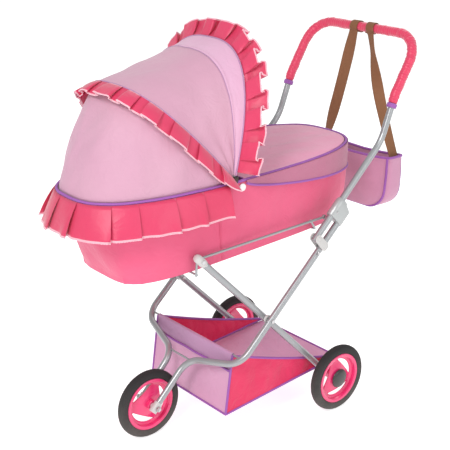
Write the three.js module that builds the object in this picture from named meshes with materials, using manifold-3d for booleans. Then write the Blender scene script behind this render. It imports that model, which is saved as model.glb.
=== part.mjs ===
// Doll's pram: a three-wheeled folding tube frame with a cloth carrycot, a two-hoop hood, a basket and a bag.
// Millimetres, +Z up, -Y forwards (front wheel), +X the pusher's left. Everything is laid out from the rear
// axle's centre, and the whole group is then lifted onto its wheels and centred on the origin.
import * as THREE from "three";
import { mergeVertices } from "three/addons/utils/BufferGeometryUtils.js";
import Module from "manifold-3d";

// ---- driving dimensions -------------------------------------------------------------------------------
const wheelDiameter = 140;
const tyreWidth = 18.6;
const tyreDepth = 17;
const wheelbase = 359;
const rearAxleBehindOrigin = 145.65;
const tubeDiameter = 13;
const tubeWall = 1;
const frameSpacing = 293; // between the centre lines of the two long frame tubes
const crossingSpacer = 5.5; // between a frame tube and the leg that crosses it
const axleDiameter = 6;
const wireDiameter = 4;
const railDiameter = 5;
const gap = 0.3; // between pieces that touch
const runningGap = 0.4; // between pieces that turn or slide on each other
const forkSideGap = 6.8; // between the front tyre and a fork tube
const forkEndBelowAxle = 9;
const legEndBelowAxle = 9;
const legEndCapRadius = 8;
const legEndCapLength = 27;
const railPivotFromLegEnd = 13.4;
const handleEndBelowHinge = 7;
const gripRadius = 9.8;
const gripBandLength = 9;
const sleeveLength = 42;
const sleeveWall = 3.2;
const sleeveFromHinge = 73; // middle of the lock sleeve, along the handle tube
const railPinFromHinge = 47;
const studLength = 3.5;
const clothThickness = 1.4;
const hingePinRadius = 2.2;
const rivetRadius = 2;
const rivetHead = 1.4;

// The carrycot's rim and floor: long ovals that reach head forwards and foot backwards from y. The higher an
// end's power the squarer it is, and the height z at y rises by tilt for each millimetre back.
const cot = {
  y: -206,
  head: 310,
  foot: 318,
  halfWidth: 134,
  headPower: 2.75,
  footPower: 2.9,
  z: 461,
  tilt: 0.027,
};
const cotFloor = {
  y: -180,
  head: 274,
  foot: 264,
  halfWidth: 105,
  headPower: 4.5,
  footPower: 4.5,
  z: 309.5,
  tilt: 0.0436,
};
const shellThickness = 2;
const pipingRadius = 2.6;
const pipingInset = 1; // from the rim's outline in to the piping's centre line
const boardThickness = 3;
const boardMargin = 9;
const ruffleDrop = 57;
const ruffleFlare = 13;
const skirtDrop = 50;
const coverFrontY = -232;
const coverCrown = 10;

const hoodPivotY = -258;
const hoodPivotAboveRim = 10;
const hoodRadius = 232;
const hoopPower = 2.8;
const hoopWireRadius = 1.8;
const hoopPinRadius = 2;
const hoopFromCloth = 3.5; // from the wire's centre line to the middle of the cloth over it
const frontHoopAngle = 103; // degrees up from straight ahead
const rearHoopAngle = 46.4;

const bagHalfWidth = 107;
const bagHalfDepth = 24;
const bagHeight = 116;
const strapLength = 256; // from the bar's centre down to the bag's rim
const strapWidth = 22;
const strapThickness = 1.6;
const strapAtBar = 23;

const basketHalfWidth = 118;
const basketRodY = -243;
const basketRodZ = 112.6;
const basketFrontBottom = { y: -262, z: -10 };
const basketRearY = 50;

// ---- places worked out from them ----------------------------------------------------------------------
const tubeR = tubeDiameter / 2;
const axleR = axleDiameter / 2;
const wheelR = wheelDiameter / 2;
const rimR = wheelR - tyreDepth;
const frameX = frameSpacing / 2;
const legX = frameX - tubeDiameter - crossingSpacer;
const forkX = tyreWidth / 2 + forkSideGap + tubeR;
const hubInnerX = legX + tubeR + runningGap;
const rearWheelX = hubInnerX + 17.3 + tyreWidth / 2;

const frontAxle = new THREE.Vector3(0, -wheelbase, 0);
const shoulder = new THREE.Vector3(forkX + 1.7, 78.7 - wheelbase, 79);
const elbow = new THREE.Vector3(frameX, 107.7 - wheelbase, 104.9);
const frameSlope = THREE.MathUtils.degToRad(42.47);
const frameLength = 360.3; // straight part of the long tube, above its elbow
const frameAlong = new THREE.Vector3(0, Math.cos(frameSlope), Math.sin(frameSlope));
const frameTop = elbow.clone().addScaledVector(frameAlong, frameLength);

const legAlong = new THREE.Vector3(0, -Math.SQRT1_2, Math.SQRT1_2);
const legLength = 480;
const legTop = legAlong.clone().multiplyScalar(legLength).setX(legX);
// The leg's line is y = -z, so the frame tube meets it where its own y and z add up to nothing.
const crossingAlong = -(elbow.y + elbow.z) / (frameAlong.y + frameAlong.z);
const crossing = elbow.clone().addScaledVector(frameAlong, crossingAlong);
const railPivot = legTop.clone().addScaledVector(legAlong, -railPivotFromLegEnd);

const hinge = new THREE.Vector3(frameX, -60.6, 314.6);
const handleKnee = new THREE.Vector3(frameX, 111.7, 476.8);
const gripStart = new THREE.Vector3(frameX, 139.8, 550);
const handleUpper = new THREE.Vector3(frameX, 145.8, 565.4);
const handleTop = new THREE.Vector3(frameX, 212.1, 674.4);
const handleAlong = handleKnee.clone().sub(hinge).normalize();
const gripAlong = handleUpper.clone().sub(handleKnee).normalize();
const railPin = hinge.clone().addScaledVector(handleAlong, railPinFromHinge);

const rimHeight = (y) => cot.z + cot.tilt * (y - cot.y);
const floorHeight = (y) => cotFloor.z + cotFloor.tilt * (y - cotFloor.y);
const hoodPivot = new THREE.Vector3(0, hoodPivotY, rimHeight(hoodPivotY) + hoodPivotAboveRim);

// ---- solids -------------------------------------------------------------------------------------------
const wasm = await Module();
wasm.setup();

// The triangles of a geometry with their positions only.
function bare(geometry) {
  const flat = geometry.index ? geometry.toNonIndexed() : geometry;
  return new THREE.BufferGeometry().setAttribute("position", flat.getAttribute("position"));
}

function toSolid(geometry) {
  const merged = mergeVertices(bare(geometry), 1e-3);
  const vertProperties = merged.getAttribute("position").array;
  const triVerts = new Uint32Array(merged.index.array);
  return new wasm.Manifold(new wasm.Mesh({ numProp: 3, vertProperties, triVerts }));
}

function toGeometry(solid) {
  const mesh = solid.getMesh();
  const geometry = new THREE.BufferGeometry();
  geometry.setAttribute("position", new THREE.BufferAttribute(new Float32Array(mesh.vertProperties), 3));
  return geometry.setIndex(Array.from(mesh.triVerts));
}

const join = (...pieces) => toGeometry(pieces.map(toSolid).reduce((whole, piece) => whole.add(piece)));
const cut = (piece, ...tools) =>
  toGeometry(tools.map(toSolid).reduce((left, tool) => left.subtract(tool), toSolid(piece)));

// The same piece on the other side of the pram.
function mirrored(geometry) {
  const from = bare(geometry).getAttribute("position");
  const to = new Float32Array(from.array.length);
  for (let i = 0; i < from.count; i += 1) {
    const source = i % 3 === 0 ? i : i % 3 === 1 ? i + 1 : i - 1;
    to.set([-from.getX(source), from.getY(source), from.getZ(source)], i * 3);
  }
  return new THREE.BufferGeometry().setAttribute("position", new THREE.BufferAttribute(to, 3));
}

// A cylinder along X whose near end is at x.
function pin(radius, x, length, y, z, sides = 10) {
  const geometry = new THREE.CylinderGeometry(radius, radius, length, sides);
  return geometry.rotateZ(-Math.PI / 2).translate(x + length / 2, y, z);
}

function ring(outer, inner, x, length, y, z, sides = 12) {
  return cut(pin(outer, x, length, y, z, sides), pin(inner, x - 1, length + 2, y, z, sides));
}

// A bent rod's centre line. Its stations are few on the straights and close together in the bends.
class BentLine extends THREE.Curve {
  constructor(stations) {
    super();
    this.stations = stations;
  }
  getPoint(t, target = new THREE.Vector3()) {
    const place = t * (this.stations.length - 1);
    const i = Math.min(Math.floor(place), this.stations.length - 2);
    return target.lerpVectors(this.stations[i], this.stations[i + 1], place - i);
  }
  getPointAt(u, target) {
    return this.getPoint(u, target);
  }
  getTangentAt(u, target = new THREE.Vector3()) {
    const last = this.stations.length - 1;
    const i = Math.round(u * last);
    const stretch = (from) => this.stations[from + 1].clone().sub(this.stations[from]).normalize();
    return target.copy(stretch(Math.max(i - 1, 0))).add(stretch(Math.min(i, last - 1))).normalize();
  }
}

// Corner points with each inner corner rounded to its own radius.
function bent(points, radii, stepsPerBend = 3) {
  const stations = [points[0].clone()];
  for (let i = 1; i < points.length - 1; i += 1) {
    const into = points[i].clone().sub(points[i - 1]);
    const out = points[i + 1].clone().sub(points[i]);
    const room = Math.min(into.length(), out.length()) * 0.49;
    into.normalize();
    out.normalize();
    const turn = into.angleTo(out);
    const reach = Math.min(radii[i - 1] * Math.tan(turn / 2), room);
    const radius = reach / Math.tan(turn / 2);
    const inward = out.clone().addScaledVector(into, -Math.cos(turn)).normalize();
    for (let k = 0; k <= stepsPerBend; k += 1) {
      const angle = (turn * k) / stepsPerBend;
      const station = points[i].clone().addScaledVector(into, radius * Math.sin(angle) - reach);
      stations.push(station.addScaledVector(inward, radius * (1 - Math.cos(angle))));
    }
  }
  stations.push(points.at(-1).clone());
  return stations;
}

const circle = (radius, sides) => {
  const corner = (angle) => new THREE.Vector2(radius * Math.cos(angle), radius * Math.sin(angle));
  return Array.from({ length: sides }, (_, i) => corner((2 * Math.PI * i) / sides));
};

function rod(stations, outer, inner = 0, sides = 8) {
  const section = new THREE.Shape(circle(outer, sides));
  if (inner > 0) section.holes.push(new THREE.Path(circle(inner, sides)));
  const extrudePath = new BentLine(stations);
  return new THREE.ExtrudeGeometry(section, { steps: stations.length - 1, extrudePath, bevelEnabled: false });
}

// A plate drawn in the (y, z) plane, from x to x + thickness.
function plate(outline, x, thickness) {
  const shape = new THREE.Shape(outline);
  const geometry = new THREE.ExtrudeGeometry(shape, { depth: thickness, bevelEnabled: false });
  const [alongX, alongY, alongZ] = [0, 1, 2].map((i) => new THREE.Vector3().setComponent(i, 1));
  return geometry.applyMatrix4(new THREE.Matrix4().makeBasis(alongY, alongZ, alongX)).translate(x, 0, 0);
}

// The outline round two circles, as a link's side plate has it.
function linkOutline(a, radiusA, b, radiusB, steps = 8) {
  const facing = Math.atan2(b.z - a.z, b.y - a.y);
  const arc = (centre, radius, from) =>
    Array.from({ length: steps + 1 }, (_, i) => {
      const angle = from + (Math.PI * i) / steps;
      return new THREE.Vector2(centre.y + radius * Math.cos(angle), centre.z + radius * Math.sin(angle));
    });
  return [...arc(a, radiusA, facing + Math.PI / 2), ...arc(b, radiusB, facing - Math.PI / 2)];
}

const fromCorners = (corners) =>
  new THREE.BufferGeometry().setAttribute("position", new THREE.Float32BufferAttribute(corners, 3));

// Closed body through a run of rings of equally many points, with a pole at each end.
function ringBody(startPole, rings, endPole) {
  const count = rings[0].length;
  const corners = [];
  const face = (a, b, c) => corners.push(...a.toArray(), ...b.toArray(), ...c.toArray());
  for (let i = 0; i < count; i += 1) {
    const j = (i + 1) % count;
    face(startPole, rings[0][i], rings[0][j]);
    for (let k = 0; k + 1 < rings.length; k += 1) {
      face(rings[k][i], rings[k + 1][i], rings[k + 1][j]);
      face(rings[k][i], rings[k + 1][j], rings[k][j]);
    }
    face(endPole, rings.at(-1)[j], rings.at(-1)[i]);
  }
  return facingOut(fromCorners(corners));
}

// Turns a closed body's faces outwards: its signed volume says which way they point.
function facingOut(geometry) {
  const p = geometry.getAttribute("position");
  const corner = (i) => new THREE.Vector3().fromBufferAttribute(p, i);
  let volume = 0;
  for (let i = 0; i < p.count; i += 3) volume += corner(i).dot(corner(i + 1).cross(corner(i + 2)));
  return volume > 0 ? geometry : mirrored(geometry.scale(-1, 1, 1));
}

// Closed body of even thickness over the surface point(u, v), with u and v from 0 to 1.
function sheet(point, uSteps, vSteps, thickness = clothThickness) {
  const small = 1e-3;
  const normal = (u, v) => {
    const across = point(Math.min(u + small, 1), v).sub(point(Math.max(u - small, 0), v));
    const along = point(u, Math.min(v + small, 1)).sub(point(u, Math.max(v - small, 0)));
    return across.cross(along).normalize();
  };
  const grid = (offset) =>
    Array.from({ length: uSteps + 1 }, (_, i) =>
      Array.from({ length: vSteps + 1 }, (_, k) => {
        const [u, v] = [i / uSteps, k / vSteps];
        return point(u, v).addScaledVector(normal(u, v), offset);
      }),
    );
  const [top, bottom] = [grid(thickness / 2), grid(-thickness / 2)];
  const corners = [];
  const quad = (a, b, c, d) => [a, b, c, a, c, d].forEach((corner) => corners.push(...corner.toArray()));
  for (let i = 0; i < uSteps; i += 1) {
    for (let k = 0; k < vSteps; k += 1) {
      quad(top[i][k], top[i + 1][k], top[i + 1][k + 1], top[i][k + 1]);
      quad(bottom[i][k], bottom[i][k + 1], bottom[i + 1][k + 1], bottom[i + 1][k]);
    }
    quad(top[i][0], bottom[i][0], bottom[i + 1][0], top[i + 1][0]);
    quad(top[i + 1][vSteps], bottom[i + 1][vSteps], bottom[i][vSteps], top[i][vSteps]);
  }
  for (let k = 0; k < vSteps; k += 1) {
    quad(top[0][k + 1], bottom[0][k + 1], bottom[0][k], top[0][k]);
    quad(top[uSteps][k], bottom[uSteps][k], bottom[uSteps][k + 1], top[uSteps][k + 1]);
  }
  return facingOut(fromCorners(corners));
}

// A point of an oval with squared-off ends: angle 0 is at +X, 90 degrees at the foot, -90 at the head.
function oval(shape, angle, inset = 0) {
  const [c, s] = [Math.cos(angle), Math.sin(angle)];
  const power = 2 / (s < 0 ? shape.headPower : shape.footPower);
  const x = (shape.halfWidth - inset) * Math.sign(c) * Math.abs(c) ** power;
  const y = shape.y + ((s < 0 ? shape.head : shape.foot) - inset) * Math.sign(s) * Math.abs(s) ** power;
  return new THREE.Vector3(x, y, 0);
}

// The angle at which the +X side of an oval passes a given y.
function ovalAngle(shape, y, inset = 0) {
  const behind = y > shape.y;
  const share = Math.abs(y - shape.y) / ((behind ? shape.foot : shape.head) - inset);
  const angle = Math.asin(share ** ((behind ? shape.footPower : shape.headPower) / 2));
  return behind ? angle : -angle;
}

const rimPoint = (angle, inset, lift) => {
  const point = oval(cot, angle, inset);
  return point.setZ(rimHeight(point.y) + lift);
};

// ---- materials and the groups that move together -------------------------------------------------------
const finish = (color, roughness, metalness = 0) => ({ color, roughness, metalness });
const finishes = {
  silverTube: finish(0xa8abad, 0.35, 0.7),
  steel: finish(0xb9bcc0, 0.3, 1),
  darkSteel: finish(0x4a4038, 0.45, 0.8),
  greyPlastic: finish(0xc9c9c6, 0.5),
  whitePlastic: finish(0xf2f0ee, 0.3),
  blackPlastic: finish(0x17171a, 0.4),
  blackFoam: finish(0x1b1a1c, 0.9),
  pinkPlastic: finish(0xf0386f, 0.3),
  pinkCloth: finish(0xe85a8c, 0.75),
  hotPinkCloth: finish(0xf53b78, 0.6),
  lilacCloth: finish(0xe3a6cf, 0.75),
  purpleBinding: finish(0x9a55b4, 0.6),
  pinkSatin: finish(0xf4336c, 0.4),
  brownWebbing: finish(0x9c5a34, 0.85),
  boardCloth: finish(0xe3a6cf, 0.85),
};
const stroller = new THREE.Group();
const add = (name, look, geometry) => {
  const mesh = new THREE.Mesh(geometry, new THREE.MeshStandardMaterial(finishes[look]));
  mesh.name = name;
  stroller.add(mesh);
};
const addPair = (name, look, geometry) => {
  add(`left_${name}`, look, geometry);
  add(`right_${name}`, look, mirrored(geometry));
};

// ---- chassis ------------------------------------------------------------------------------------------
const forkAlong = frontAxle.clone().setX(forkX).sub(shoulder).normalize();
const forkEnd = frontAxle.clone().setX(forkX).addScaledVector(forkAlong, forkEndBelowAxle);
const frameLine = bent([forkEnd, shoulder, elbow, frameTop], [40, 42]);

function frameTubes() {
  const axleBore = pin(axleR + gap, forkX - 20, 40, frontAxle.y, frontAxle.z);
  const rivetBore = pin(rivetRadius + gap, frameX - 20, 40, crossing.y, crossing.z);
  addPair("frame_tube", "silverTube", cut(rod(frameLine, tubeR, tubeR - tubeWall), axleBore, rivetBore));
}

// Cross rods are cut to stop just short of the tubes that they are welded between.
function crossRod(y, z, radius) {
  const across = [new THREE.Vector3(-frameX, y, z), new THREE.Vector3(frameX, y, z)];
  const fat = rod(frameLine, tubeR + gap);
  const pieces = toSolid(cut(rod(across, radius, 0, 8), fat, mirrored(fat))).decompose();
  const middle = pieces.find((piece) => piece.boundingBox().min[0] < 0 && piece.boundingBox().max[0] > 0);
  return toGeometry(middle);
}

function crossRods() {
  const bend = frameLine[3];
  add("fork_brace_rod", "silverTube", crossRod(bend.y, bend.z, wireDiameter / 2));
  add("basket_front_rod", "silverTube", crossRod(basketRodY, basketRodZ, wireDiameter / 2));
}

// Moulded cups close the fork's ends and space the wheel between them; a bolt goes through all of it.
function frontAxleSet() {
  const cupWall = 1.5;
  const cupAboveAxle = 11;
  const cupR = tubeR + gap + cupWall;
  const cupFrom = frontAxle.clone().setX(forkX).addScaledVector(forkAlong, -cupAboveAxle);
  const cupTo = forkEnd.clone().addScaledVector(forkAlong, gap + cupWall);
  const tubeTo = forkEnd.clone().addScaledVector(forkAlong, gap);
  const above = cupFrom.clone().addScaledVector(forkAlong, -5);
  const bossRadius = 6;
  const hubFace = tyreWidth / 2 + 4;
  const boss = pin(bossRadius, hubFace, forkX - hubFace, frontAxle.y, frontAxle.z);
  const bore = pin(axleR + gap, 0, 2 * forkX, frontAxle.y, frontAxle.z);
  const cup = cut(join(rod([cupFrom, cupTo], cupR, 0, 12), boss), rod([above, tubeTo], tubeR + gap), bore);
  addPair("fork_end", "greyPlastic", cup);

  const reach = forkX + cupR + gap;
  const headRadius = 5.5;
  const nutThickness = 4;
  const tail = 2.5;
  const shaft = pin(axleR, -reach - 1, 2 * reach + nutThickness + tail, frontAxle.y, frontAxle.z);
  const head = pin(headRadius, -reach - nutThickness, nutThickness, frontAxle.y, frontAxle.z, 6);
  add("front_axle_bolt", "steel", join(shaft, head));
  const nutBore = pin(axleR + gap, reach - 1, nutThickness + 2, frontAxle.y, frontAxle.z);
  const nut = pin(headRadius, reach, nutThickness, frontAxle.y, frontAxle.z, 6);
  add("front_axle_nut", "steel", cut(nut, nutBore));
}

function rivet(fromX, toX, y, z) {
  const shank = pin(rivetRadius, fromX - rivetHead / 2, toX - fromX + rivetHead, y, z);
  const heads = [fromX - rivetHead, toX].map((x) => pin(2 * rivetRadius, x, rivetHead, y, z));
  return join(shank, ...heads);
}

function crossings() {
  const { y, z } = crossing;
  const spacerRadius = 8;
  const length = crossingSpacer - 2 * gap;
  const spacer = ring(spacerRadius, rivetRadius + gap, legX + tubeR + gap, length, y, z);
  addPair("crossing_spacer", "greyPlastic", spacer);
  addPair("crossing_rivet", "steel", rivet(legX - tubeR - gap, frameX + tubeR + gap, y, z));
}

// Two side plates on the frame tube, joined by the pin that the handle tube turns on.
function hingeBrackets() {
  const plateThickness = 2;
  const saddleRadius = 9;
  const hingeRadius = 8;
  const headRadius = 4;
  const alongTube = hinge.clone().sub(elbow).dot(frameAlong);
  const saddle = elbow.clone().addScaledVector(frameAlong, alongTube);
  const outline = linkOutline(saddle, saddleRadius, hinge, hingeRadius);
  const faceX = tubeR + gap;
  const outerX = faceX + plateThickness;
  const plates = [frameX - outerX, frameX + faceX].map((x) => plate(outline, x, plateThickness));
  const cross = pin(hingePinRadius, frameX - outerX, 2 * outerX, hinge.y, hinge.z);
  const head = pin(headRadius, frameX + outerX - 0.5, 2, hinge.y, hinge.z);
  addPair("hinge_bracket", "greyPlastic", join(...plates, cross, head));
}

// A wedge of cloth: a floor that lies over the rear axle, a front panel up to the rod and two side triangles.
function basket() {
  const wall = clothThickness;
  const rearEdge = 6;
  const frontBottom = new THREE.Vector2(basketFrontBottom.y, basketFrontBottom.z);
  const rear = new THREE.Vector2(basketRearY, axleR + 6);
  const front = new THREE.Vector2(basketRodY - 2, basketRodZ - wireDiameter / 2 - 0.5);
  const outline = [frontBottom, rear, new THREE.Vector2(rear.x, rear.y + rearEdge), front];
  const cavity = [
    new THREE.Vector2(frontBottom.x + wall, frontBottom.y + wall),
    new THREE.Vector2(rear.x - wall, rear.y + wall),
    new THREE.Vector2(rear.x - wall, rear.y + 200),
    new THREE.Vector2(front.x + wall, front.y + 200),
    new THREE.Vector2(front.x + wall, front.y - 1),
  ];
  const body = plate(outline, -basketHalfWidth, 2 * basketHalfWidth);
  const inside = plate(cavity, wall - basketHalfWidth, 2 * (basketHalfWidth - wall));
  add("basket", "lilacCloth", cut(body, inside));
}

// ---- wheels -------------------------------------------------------------------------------------------
// A foam tyre on a dished plastic wheel with three wide spokes. Both are turned about X.
function tyre() {
  const half = tyreWidth / 2;
  const shoulderDepth = 5;
  const profile = [
    [rimR + gap, -half * 0.8],
    [wheelR - shoulderDepth, -half],
    [wheelR, -half * 0.35],
    [wheelR, half * 0.35],
    [wheelR - shoulderDepth, half],
    [rimR + gap, half * 0.8],
    [rimR + gap, -half * 0.8],
  ].map(([radius, x]) => new THREE.Vector2(radius, x));
  return facingOut(bare(new THREE.LatheGeometry(profile, 28).rotateZ(-Math.PI / 2)));
}

function wheel(hubFrom, hubTo) {
  const bandDepth = 5;
  const bandHalf = tyreWidth * 0.42;
  const webThickness = 3.5;
  const hubRadius = 11;
  const band = ring(rimR, rimR - bandDepth, -bandHalf, 2 * bandHalf, 0, 0, 28);
  const web = new THREE.Shape(circle(rimR - bandDepth / 2, 28));
  const openings = [0, 1, 2].map((k) => {
    const middle = (2 * Math.PI * k) / 3;
    const reach = rimR - bandDepth - 3;
    const inner = hubRadius + 6;
    const at = (radius, angle) => [radius * Math.cos(middle + angle), radius * Math.sin(middle + angle)];
    const opening = new THREE.Path().moveTo(...at(inner, -0.5));
    opening.quadraticCurveTo(...at(reach * 0.85, -0.62), ...at(reach, -0.1));
    opening.quadraticCurveTo(...at(reach * 1.02, 0.38), ...at(reach * 0.8, 0.42));
    opening.quadraticCurveTo(...at(reach * 0.55, 0.05), ...at(inner, -0.5));
    return opening;
  });
  web.holes.push(...openings);
  const settings = { depth: webThickness, bevelEnabled: false, curveSegments: 2 };
  const disc = new THREE.ExtrudeGeometry(web, settings);
  disc.rotateY(Math.PI / 2).translate(-webThickness / 2, 0, 0);
  const hub = pin(hubRadius, hubFrom, hubTo - hubFrom, 0, 0, 12);
  const bore = pin(axleR + runningGap, hubFrom - 1, hubTo - hubFrom + 2, 0, 0);
  return cut(join(band, disc, hub), bore);
}

function frontWheel() {
  const hub = tyreWidth / 2 + 4 - runningGap;
  add("front_tyre", "blackFoam", tyre().translate(0, frontAxle.y, frontAxle.z));
  add("front_rim", "pinkPlastic", wheel(-hub, hub).translate(0, frontAxle.y, frontAxle.z));
}

function rearWheels() {
  const inner = hubInnerX - rearWheelX;
  const outer = tyreWidth / 2 - 2;
  const capRadius = 20;
  const capProfile = [
    [0, 0],
    [capRadius, 0],
    [capRadius, 1.5],
    [capRadius * 0.92, 3.6],
    [capRadius * 0.6, 5.2],
    [0, 6],
  ].map(([radius, x]) => new THREE.Vector2(radius, x));
  const dome = facingOut(bare(new THREE.LatheGeometry(capProfile, 20)));
  addPair("rear_tyre", "blackFoam", tyre().translate(rearWheelX, 0, 0));
  addPair("rear_rim", "pinkPlastic", wheel(inner, outer).translate(rearWheelX, 0, 0));
  addPair("hub_cap", "blackPlastic", dome.rotateZ(-Math.PI / 2).translate(rearWheelX + outer + gap, 0, 0));
}

// ---- rear legs ----------------------------------------------------------------------------------------
function rearLegs() {
  const bottom = legAlong.clone().multiplyScalar(-legEndBelowAxle).setX(legX);
  const bores = [
    pin(axleR + gap, legX - 20, 40, 0, 0),
    pin(rivetRadius + gap, legX - 20, 40, crossing.y, crossing.z),
    pin(rivetRadius + gap, legX - 20, 40, railPivot.y, railPivot.z),
  ];
  addPair("rear_leg", "silverTube", cut(rod([bottom, legTop], tubeR, tubeR - tubeWall), ...bores));

  const crown = 3;
  const profile = [
    [0, gap],
    [tubeR + gap, gap],
    [tubeR + gap, crown - legEndCapLength],
    [legEndCapRadius, crown - legEndCapLength],
    [legEndCapRadius, crown - 4],
    [legEndCapRadius * 0.7, crown - 0.8],
    [0, crown],
  ].map(([radius, along]) => new THREE.Vector2(radius, along));
  const turn = new THREE.Quaternion().setFromUnitVectors(new THREE.Vector3(0, 1, 0), legAlong);
  const cap = facingOut(bare(new THREE.LatheGeometry(profile, 12))).applyQuaternion(turn);
  addPair("leg_end_cap", "greyPlastic", cut(cap.translate(...legTop.toArray()), bores[2]));

  const axleReach = rearWheelX + tyreWidth / 2 - 4;
  add("rear_axle", "steel", pin(axleR, -axleReach, 2 * axleReach, 0, 0));
  const outerFace = legX + legEndCapRadius + gap;
  const innerFace = railFrontX - railDiameter / 2 - gap;
  addPair("rail_pivot_rivet", "steel", rivet(innerFace, outerFace, railPivot.y, railPivot.z));
}

// ---- handle -------------------------------------------------------------------------------------------
const mirrorPoint = (point) => point.clone().setX(-point.x);
function handle() {
  const studRadius = 3;
  const below = hinge.clone().addScaledVector(handleAlong, -handleEndBelowHinge);
  const half = [below, handleKnee, handleUpper, handleTop];
  const line = bent([...half, ...half.toReversed().map(mirrorPoint)], [90, 60, 56, 56, 60, 90]);
  const bore = pin(hingePinRadius + runningGap, frameX - 20, 40, hinge.y, hinge.z);
  const tube = cut(rod(line, tubeR, tubeR - tubeWall), bore, mirrored(bore));
  const stud = pin(studRadius, frameX - tubeR - studLength, studLength + 0.5, railPin.y, railPin.z);
  add("handle_tube", "silverTube", join(tube, stud, mirrored(stud)));

  const gripHalf = [gripStart, handleUpper, handleTop];
  const gripLine = bent([...gripHalf, ...gripHalf.toReversed().map(mirrorPoint)], [60, 56, 56, 60]);
  add("handle_grip", "pinkSatin", rod(gripLine, gripRadius, tubeR + gap));
  const bandTo = gripStart.clone().addScaledVector(gripAlong, -gap);
  const bandFrom = bandTo.clone().addScaledVector(gripAlong, -gripBandLength);
  addPair("grip_band", "purpleBinding", rod([bandFrom, bandTo], gripRadius + 0.6, tubeR + gap));
}

// A sleeve that slides on the handle tube, with a saddle that sits over the frame tube's top end.
function lockSleeves() {
  const radius = tubeR + runningGap + sleeveWall;
  const middle = hinge.clone().addScaledVector(handleAlong, sleeveFromHinge);
  const half = handleAlong.clone().multiplyScalar(sleeveLength / 2);
  const [from, to] = [middle.clone().sub(half), middle.clone().add(half)];
  const towardsFrame = new THREE.Vector3(0, handleAlong.z, -handleAlong.y);
  const apart = frameTop.clone().sub(middle).dot(towardsFrame);
  const block = new THREE.BoxGeometry(2 * (radius - 1), sleeveLength, apart - radius + 4);
  const turn = Math.atan2(handleAlong.z, handleAlong.y);
  block.rotateX(turn).translate(middle.x, middle.y, middle.z);
  const blockMiddle = (radius - 2 + apart) / 2;
  block.translate(0, towardsFrame.y * blockMiddle, towardsFrame.z * blockMiddle);
  const past = frameTop.clone().addScaledVector(frameAlong, sleeveLength);
  const fatFrame = rod([elbow, past], tubeR + runningGap, 0, 12);
  const fatHandle = rod([hinge, handleKnee], tubeR + runningGap, 0, 12);
  const body = join(rod([from, to], radius, 0, 14), block);
  addPair("lock_sleeve", "greyPlastic", cut(body, fatFrame, fatHandle));
}

// ---- carrycot -----------------------------------------------------------------------------------------
// Rail: a rod from the leg's pivot to the handle's stud, with an eye and a tab for the support wire in front.
const railFrontX = legX - legEndCapRadius - gap - railDiameter / 2;
const railRearX = frameX - tubeR - studLength - runningGap - railDiameter / 2;
const supportRadius = wireDiameter / 2;
const frontSupportY = railPivot.y - 1;
const supportHeight = (y) => floorHeight(y) - gap - supportRadius;
const rearSupportY = -24;

function rails() {
  const front = railPivot.clone().setX(railFrontX);
  const rear = railPin.clone().setX(railRearX);
  const eyeRadius = 5.5;
  const eye = pin(eyeRadius, railFrontX - railDiameter / 2, railDiameter, front.y, front.z, 14);
  const rearEye = pin(eyeRadius - 1, railRearX - railDiameter / 2, railDiameter, rear.y, rear.z, 12);
  const tabEnd = new THREE.Vector3(0, frontSupportY, supportHeight(frontSupportY));
  const tab = plate(linkOutline(tabEnd, 5, front, 4), railFrontX - 1, 2);
  const eyeHole = pin(rivetRadius + runningGap, railFrontX - 10, 20, front.y, front.z);
  const wireHole = pin(supportRadius + gap, railFrontX - 10, 20, tabEnd.y, tabEnd.z);
  const rail = join(rod([front, rear], railDiameter / 2, 0, 8), eye, rearEye, tab);
  addPair("side_rail", "silverTube", cut(rail, eyeHole, wireHole));

  const reach = railFrontX + 2.2;
  const frontWire = pin(supportRadius, -reach, 2 * reach, tabEnd.y, tabEnd.z, 8);
  add("front_support_wire", "silverTube", frontWire);
  const hangY = -58;
  const share = (hangY - front.y) / (rear.y - front.y);
  const onRail = front.clone().lerp(rear, share);
  const insideRail = onRail.clone().setX(onRail.x - railDiameter / 2 - gap - supportRadius);
  const under = new THREE.Vector3(cotFloor.halfWidth + 4, rearSupportY, supportHeight(rearSupportY));
  const wire = bent([insideRail, under, mirrorPoint(under), mirrorPoint(insideRail)], [12, 12], 3);
  add("rear_support_wire", "silverTube", rod(wire, supportRadius, 0, 8));
}

// How far in and how far down each ring of the cloth shell lies, from the rim (0) to the floor (1).
const shellRings = [
  { down: 0, foot: 0, head: 0, sides: 0 },
  { down: 0.42, foot: 0.13, head: 0.42, sides: 0.36 },
  { down: 0.77, foot: 0.37, head: 0.78, sides: 0.72 },
  { down: 0.93, foot: 0.72, head: 0.95, sides: 0.9 },
  { down: 1, foot: 1, head: 1, sides: 1 },
];
const shellSteps = 36;

function shellRing({ down, foot, head, sides }, inset, lift) {
  const mix = (a, b, share) => a + (b - a) * share;
  const y = mix(cot.y, cotFloor.y, foot);
  const headEnd = mix(cot.y - cot.head, cotFloor.y - cotFloor.head, head);
  const shape = {
    y,
    head: y - headEnd,
    foot: mix(cot.foot, cotFloor.foot, foot),
    halfWidth: mix(cot.halfWidth, cotFloor.halfWidth, sides),
    headPower: mix(cot.headPower, cotFloor.headPower, down),
    footPower: mix(cot.footPower, cotFloor.footPower, down),
  };
  return Array.from({ length: shellSteps }, (_, i) => {
    const point = oval(shape, (2 * Math.PI * i) / shellSteps, inset);
    return point.setZ(mix(rimHeight(point.y), floorHeight(point.y), down) + lift);
  });
}

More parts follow.
